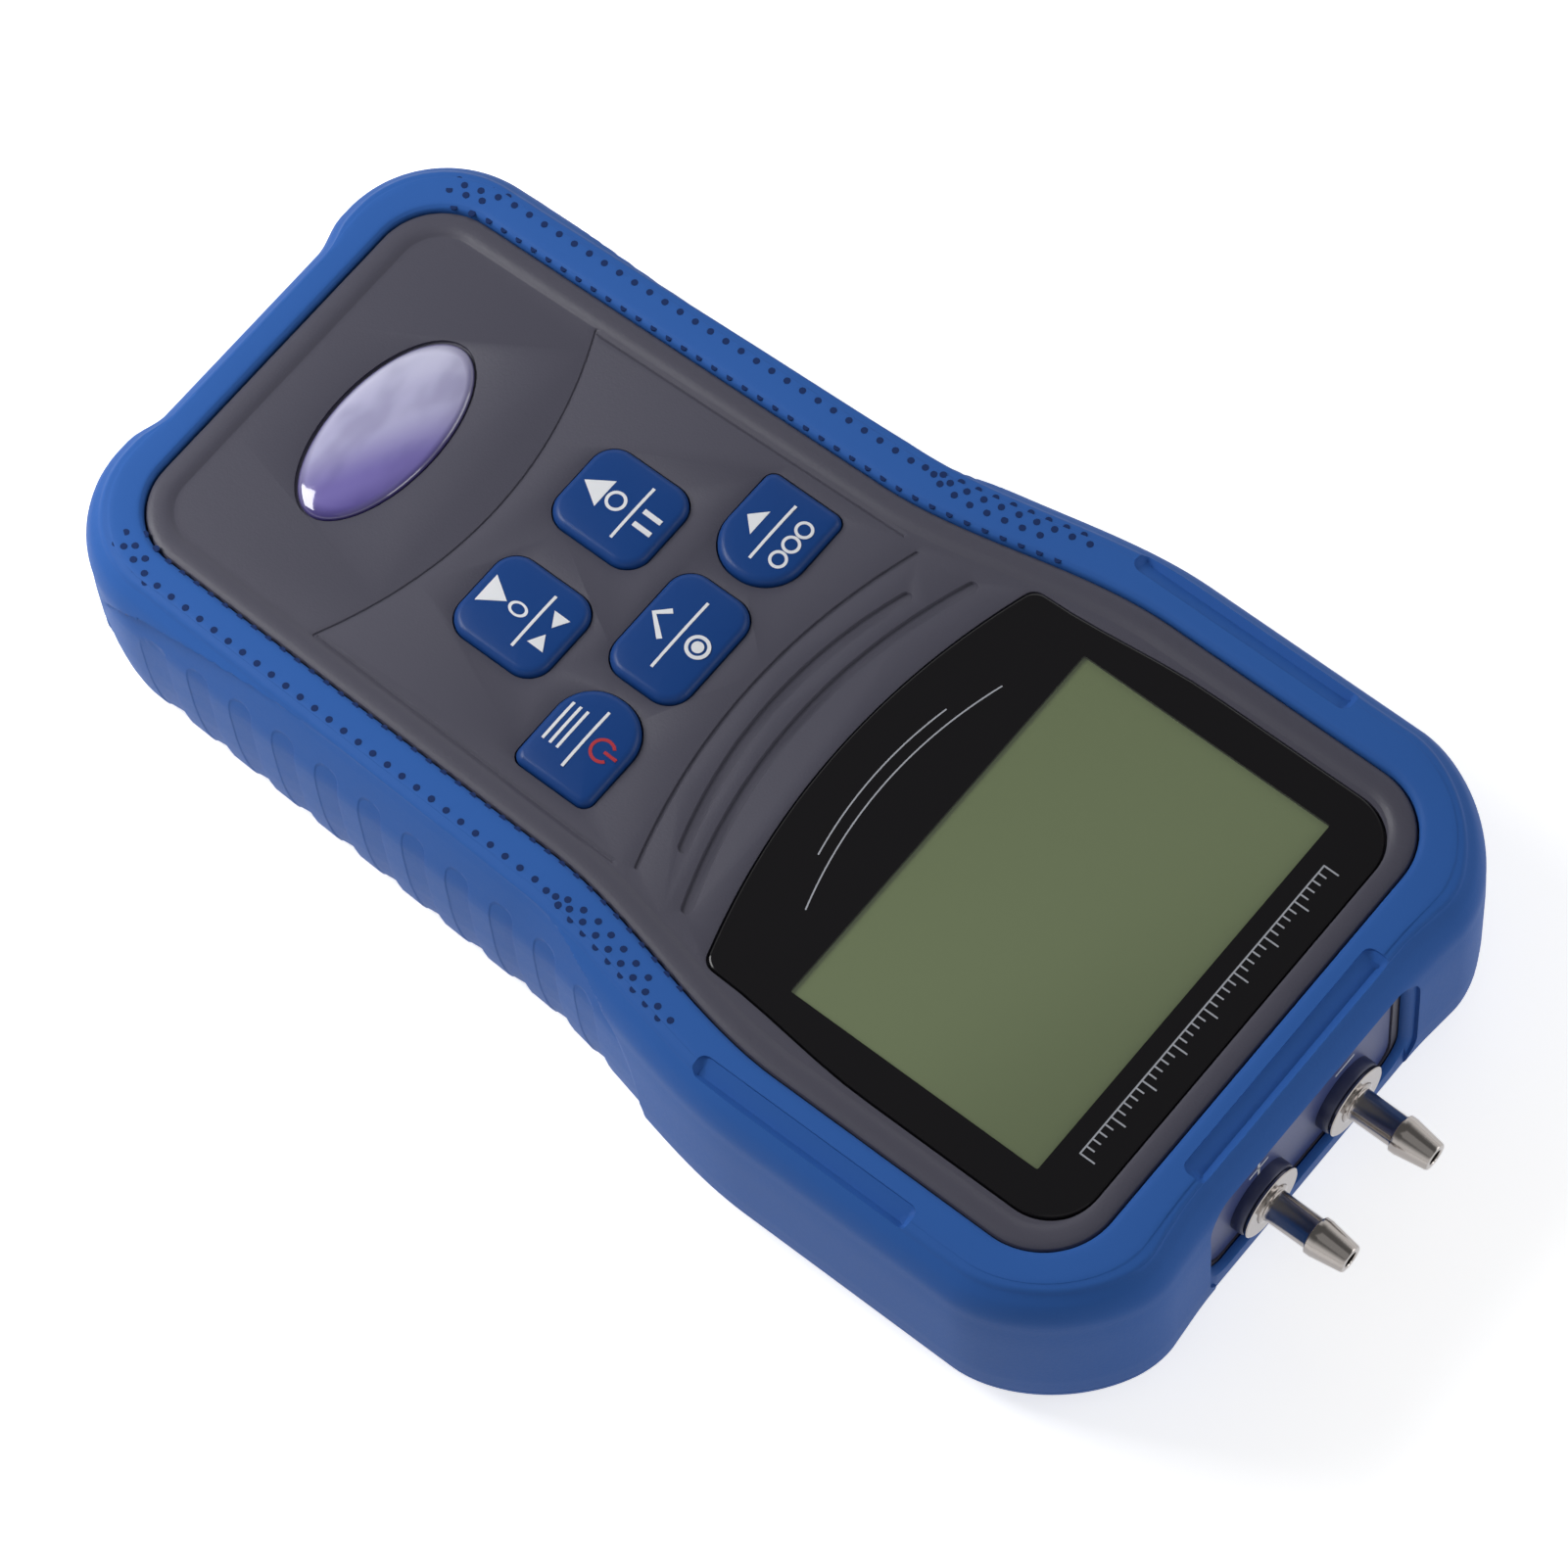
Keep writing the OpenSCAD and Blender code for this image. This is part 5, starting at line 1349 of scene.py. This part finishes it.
@dataclass
class Badge:
    """The bare oval badge in its pocket."""

    finishes: Finishes
    size: tuple[float, float] = (31.2, 15.2)
    up: float = 27.5
    dome: float = 1.56

    def ring(self, grow: float, steps: int = 96) -> Array:
        """Plan ring of the badge, grown by a gap."""
        angle = np.linspace(0.0, 2 * np.pi, steps, endpoint=False)
        y = self.up - FRAME.grip_reach
        return np.stack([
            (self.size[0] / 2 + grow) * np.cos(angle), y + (self.size[1] / 2 + grow) * np.sin(angle),
        ], axis=1)

    def build(self) -> list[bpy.types.Object]:
        """Makes the domed plate: rings whose height is the dome times the square root of 1 - r^2.4."""
        ring = self.ring(0.0)
        centre = ring.mean(axis=0)
        rings = [at_z(ring, FRAME.field_z - 0.5), at_z(ring, FRAME.field_z + 0.1)]
        for share in (0.985, 0.95, 0.9, 0.82, 0.72, 0.6, 0.46, 0.3, 0.12):
            rise = 0.1 + self.dome * math.sqrt(1 - share**2.4)
            height = FRAME.field_z + rise * self.dome / (self.dome + 0.1)
            rings.append(at_z(centre + (ring - centre) * share, height))
        plate = smooth(add_mesh("badge_dome", loft(rings), self.finishes.badge), 50.0)
        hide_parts("name_badge")
        return [plate]


@dataclass
class Ports:
    """The two barbed ports with their washers and collars, and the marks above them."""

    finishes: Finishes
    x: float = 8.87
    panel_y: float = 58.0
    # Profiles of washer and collar: radius and height over the panel
    washer: tuple[tuple[float, float], ...] = (
        (3.06, 1.9), (5.25, 1.9), (5.4, 2.02), (5.4, 2.32), (5.25, 2.44), (3.06, 2.44),
    )
    collar: tuple[tuple[float, float], ...] = (
        (3.06, 0.0), (5.5, 0.0), (5.5, 1.5), (5.3, 1.8), (4.9, 1.9), (3.06, 1.9),
    )

    def place(self, shape: Shape, x: float) -> Shape:
        """Turns a shape made along +Z so that it points along +Y at a port."""
        p = shape.points
        points = np.stack([p[:, 0] + x, self.panel_y + p[:, 2], -p[:, 1] + FRAME.port_z], axis=1)
        return Shape(points, shape.faces)

    def nipple(self) -> Shape:
        """Turned port: bore, tail, thread, step, waisted shank, barb with land and cone, rounded tip."""
        profile = [
            (1.15, -12.1), (1.9, -12.1), (1.9, -6.1), (3.0, -6.1), (3.0, 2.5), (2.94, 2.64), (2.8, 2.72),
            (2.52, 2.74), (2.36, 2.86), (2.3, 3.2), (2.3, 9.05), (2.36, 9.25), (2.62, 9.3), (2.75, 9.42),
            (2.75, 10.4), (2.7, 10.52), (2.06, 14.7), (1.94, 14.9), (1.7, 14.94), (1.25, 14.94), (1.15, 14.8),
        ]
        return turned(np.array(profile))

    def build(self) -> list[bpy.types.Object]:
        """Makes ports, washers, collars and marks."""
        made, washers, collars = [], [], []
        for side, node in ((Side.RIGHT, "port_plus"), (Side.LEFT, "port_minus")):
            x = side.value * self.x
            port = smooth(add_mesh(f"{node}_barb", self.place(self.nipple(), x), self.finishes.nickel), 28.0)
            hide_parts(node)
            made.append(port)
            washers.append(self.place(turned(np.array(self.washer)), x))
            collars.append(self.place(turned(np.array(self.collar)), x))
        plate = smooth(add_mesh("port_washer_pair", joined(washers), self.finishes.nickel), 28.0)
        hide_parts("port_washers")
        foot = smooth(add_mesh("port_collar_pair", joined(collars), self.finishes.collar), 35.0)
        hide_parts("port_collars")
        made += [plate, foot, self.mark(Sign.MINUS), self.mark(Sign.PLUS)]
        return made

    def mark(self, sign: Sign) -> bpy.types.Object:
        """Printed plus or minus on the panel above its port."""
        x = 8.6 if sign is Sign.PLUS else -9.3
        z = FRAME.port_z + 7.5
        strokes = [(3.9, 0.42)] + ([(0.42, 3.7)] if sign is Sign.PLUS else [])
        square = np.array([[-1, -1], [1, -1], [1, 1], [-1, 1]])
        shapes = [
            along_y(square * [width / 2, height / 2] + [x, z], self.panel_y - 0.05, self.panel_y + 0.03)
            for width, height in strokes
        ]
        return add_mesh(f"port_mark_{sign.value}", joined(shapes), self.finishes.white)


@dataclass
class HiddenPieces:
    """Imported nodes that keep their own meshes: back, board and what the housing holds."""

    finishes: Finishes

    def weld(self) -> bpy.types.NodeTree:
        """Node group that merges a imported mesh's loose triangles and shades it smooth but for its edges."""
        tree = bpy.data.node_groups.new("weld_and_shade", "GeometryNodeTree")
        tree.interface.new_socket("Geometry", in_out="INPUT", socket_type="NodeSocketGeometry")
        tree.interface.new_socket("Geometry", in_out="OUTPUT", socket_type="NodeSocketGeometry")
        start, end = tree.nodes.new("NodeGroupInput"), tree.nodes.new("NodeGroupOutput")
        merge = tree.nodes.new("GeometryNodeMergeByDistance")
        merge.inputs["Distance"].default_value = 1e-6
        faces = tree.nodes.new("GeometryNodeSetShadeSmooth")
        edges = tree.nodes.new("GeometryNodeSetShadeSmooth")
        edges.domain = "EDGE"
        edges.inputs["Shade Smooth"].default_value = False
        angle = tree.nodes.new("GeometryNodeInputMeshEdgeAngle")
        wide = tree.nodes.new("ShaderNodeMath")
        wide.operation = "GREATER_THAN"
        wide.inputs[1].default_value = math.radians(24.0)
        tree.links.new(start.outputs[0], merge.inputs["Geometry"])
        tree.links.new(merge.outputs["Geometry"], faces.inputs["Geometry"])
        tree.links.new(faces.outputs["Geometry"], edges.inputs["Geometry"])
        tree.links.new(angle.outputs[0], wide.inputs[0])
        tree.links.new(wide.outputs[0], edges.inputs["Selection"])
        tree.links.new(edges.outputs["Geometry"], end.inputs[0])
        return tree

    def build(self) -> list[bpy.types.Object]:
        """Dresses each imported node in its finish."""
        f = self.finishes
        dress = {
            "rear_case": f.case, "battery_door": f.case, "tilt_stand": f.case, "port_panel": f.panel,
            "case_seal": f.seal, "port_seals": f.seal, "lcd_connectors": f.seal, "window_mask": f.chip,
            "lcd_glass": f.lcd, "lcd_frame": f.light, "main_board": f.board, "main_chip": f.chip,
            "buzzer": f.chip, "key_web": f.web, "port_nuts": f.brass, "pressure_sensor": f.light,
            "hose_plus": f.hose, "hose_minus": f.hose, "battery": f.can, "battery_snap": f.chip,
            "door_screw": f.steel, "stand_pin": f.steel, "tripod_insert": f.brass, "case_screws": f.steel,
            "board_screws": f.steel,
        }
        tree = self.weld()
        for name, material in dress.items():
            node = FRAME.nodes[name]
            for slot in node.material_slots:
                slot.material = material
            node.modifiers.new("weld_and_shade", "NODES").node_group = tree
        return []


@dataclass
class Studio:
    """Pale floor, soft lamps, world and the photograph's camera."""

    def camera(self) -> None:
        """Camera solved from the photograph: its axes in the frame and its place."""
        right = Vector((-0.63125964, 0.77378484, -0.05261458))
        up = Vector((-0.71122773, -0.55050008, 0.43715532))
        back = Vector((0.30929983, 0.31337946, 0.89784572))
        spot = Vector((277.973, 254.585 + FRAME.datum, 784.011 + FRAME.field_z)) * MM
        data = bpy.data.cameras.new("camera")
        data.lens, data.sensor_width, data.sensor_fit = 156.66, 36.0, "HORIZONTAL"
        data.clip_start, data.clip_end = 0.05, 20.0
        item = bpy.data.objects.new("camera", data)
        item.matrix_world = Matrix((
            (right.x, up.x, back.x, spot.x), (right.y, up.y, back.y, spot.y),
            (right.z, up.z, back.z, spot.z), (0, 0, 0, 1),
        ))
        bpy.context.collection.objects.link(item)
        bpy.context.scene.camera = item

    def lamp(self, name: str, where: tuple[float, float, float], size: float, power: float) -> None:
        """Square soft lamp that looks at the instrument."""
        data = bpy.data.lights.new(name, "AREA")
        data.shape, data.size, data.energy = "SQUARE", size, power
        item = bpy.data.objects.new(name, data)
        item.location = where
        item.rotation_euler = (-Vector(where)).to_track_quat("-Z", "Y").to_euler()
        bpy.context.collection.objects.link(item)

    def world(self) -> None:
        """Soft white surroundings, plain white for the camera and glass.

        Glossy rays meet white near the horizon and a dimmer ceiling overhead, as in a light tent, so that
        flat glossy faces stay deep and turned metal shows both.
        """
        world = bpy.data.worlds.new("surroundings")
        world.use_nodes = True
        tree = world.node_tree
        tree.nodes.clear()
        path = add_node(tree, "ShaderNodeLightPath")
        seen = add_node(
            tree, "ShaderNodeMath",
            {0: path.outputs["Is Camera Ray"], 1: path.outputs["Is Transmission Ray"]},
            operation="MAXIMUM",
        )
        way = add_node(tree, "ShaderNodeTexCoord").outputs["Generated"]
        place = add_node(tree, "ShaderNodeSeparateXYZ", {0: way})
        tent = add_node(
            tree, "ShaderNodeMapRange", {"Value": place.outputs["Z"]}, interpolation_type="SMOOTHSTEP",
        )
        for name, value in (("From Min", 0.26), ("From Max", 0.77), ("To Min", 1.0), ("To Max", 0.15)):
            tent.inputs[name].default_value = value
        level = add_node(
            tree, "ShaderNodeMapRange",
            {"Value": path.outputs["Is Glossy Ray"], "To Max": tent.outputs["Result"]},
        )
        level.inputs["To Min"].default_value = 0.22
        strength = add_node(
            tree, "ShaderNodeMapRange", {"Value": seen.outputs[0], "To Min": level.outputs["Result"]},
        )
        light = add_node(tree, "ShaderNodeBackground", {"Strength": strength.outputs["Result"]})
        light.inputs["Color"].default_value = (1.0, 1.0, 1.0, 1.0)
        add_node(tree, "ShaderNodeOutputWorld", {"Surface": light.outputs[0]})
        bpy.context.scene.world = world

    @staticmethod
    def shown(tree: bpy.types.NodeTree) -> bpy.types.NodeSocket:
        """Socket that is 1 for the rays that show a background: camera, glossy and transmission rays."""
        path = add_node(tree, "ShaderNodeLightPath")
        first = add_node(
            tree, "ShaderNodeMath", {0: path.outputs["Is Camera Ray"], 1: path.outputs["Is Glossy Ray"]},
            operation="MAXIMUM",
        )
        both = add_node(
            tree, "ShaderNodeMath", {0: first.outputs[0], 1: path.outputs["Is Transmission Ray"]},
            operation="MAXIMUM",
        )
        return both.outputs[0]

    def floor(self) -> None:
        """Pale floor that shows white to the camera and keeps the object's soft shadow."""
        mesh = bpy.data.meshes.new("floor")
        reach = 6.0
        corners = [(x * reach, y * reach, 0) for x, y in ((-1, -1), (1, -1), (1, 1), (-1, 1))]
        mesh.from_pydata(corners, [], [[0, 1, 2, 3]])
        material, tree, shader = principled("pale_studio_paper")
        set_inputs(
            shader, Base_Color=srgb("#F4F4F4"), Roughness=0.9, Specular_IOR_Level=0.1,
            Emission_Color=(1.0, 1.0, 1.0, 1.0),
        )
        glow = add_node(tree, "ShaderNodeMath", {0: self.shown(tree)}, operation="MULTIPLY")
        glow.inputs[1].default_value = 0.64
        tree.links.new(glow.outputs[0], shader.inputs["Emission Strength"])
        mesh.materials.append(material)
        item = bpy.data.objects.new("floor", mesh)
        bpy.context.collection.objects.link(item)

    def build(self) -> None:
        """Sets up the studio."""
        self.camera()
        self.floor()
        self.world()
        self.lamp("key_lamp", (0.12, -0.3, 0.32), 0.2, 1.3)
        self.lamp("fill_lamp", (-1.0, -0.5, 0.8), 0.9, 1.1)
        self.lamp("top_lamp", (0.3, 0.7, 1.3), 1.0, 0.8)
        self.lamp("right_card", (-0.7, 0.7, 0.35), 0.5, 1.35)
        self.lamp("end_card", (-0.1, 0.95, 0.36), 0.32, 0.9)
        bpy.context.scene.view_settings.view_transform = "Standard"


def main() -> None:
    """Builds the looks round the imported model."""
    logging.basicConfig(level=logging.INFO, format="%(name)s: %(message)s")
    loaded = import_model()
    FRAME.nodes = loaded["nodes"]
    FRAME.read()
    LOG.info("datum %.2f grip reach %.2f", FRAME.datum, FRAME.grip_reach)
    Studio().build()
    finishes = Finishes()
    keypad, window, badge = Keypad(finishes), Window(finishes), Badge(finishes)
    housing = [
        RubberBoot(finishes), FrontCase(finishes, keypad, window, badge), window, badge, Ports(finishes),
        HiddenPieces(finishes),
    ]
    for assembly in housing:
        for item in assembly.build():
            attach(item, "housing")
            LOG.info("%s: %d faces", item.name, len(item.data.polygons))
    for item in keypad.build():
        LOG.info("%s: %d faces", item.name, len(item.data.polygons))
    bpy.context.view_layer.update()


if __name__ == "__main__":
    main()
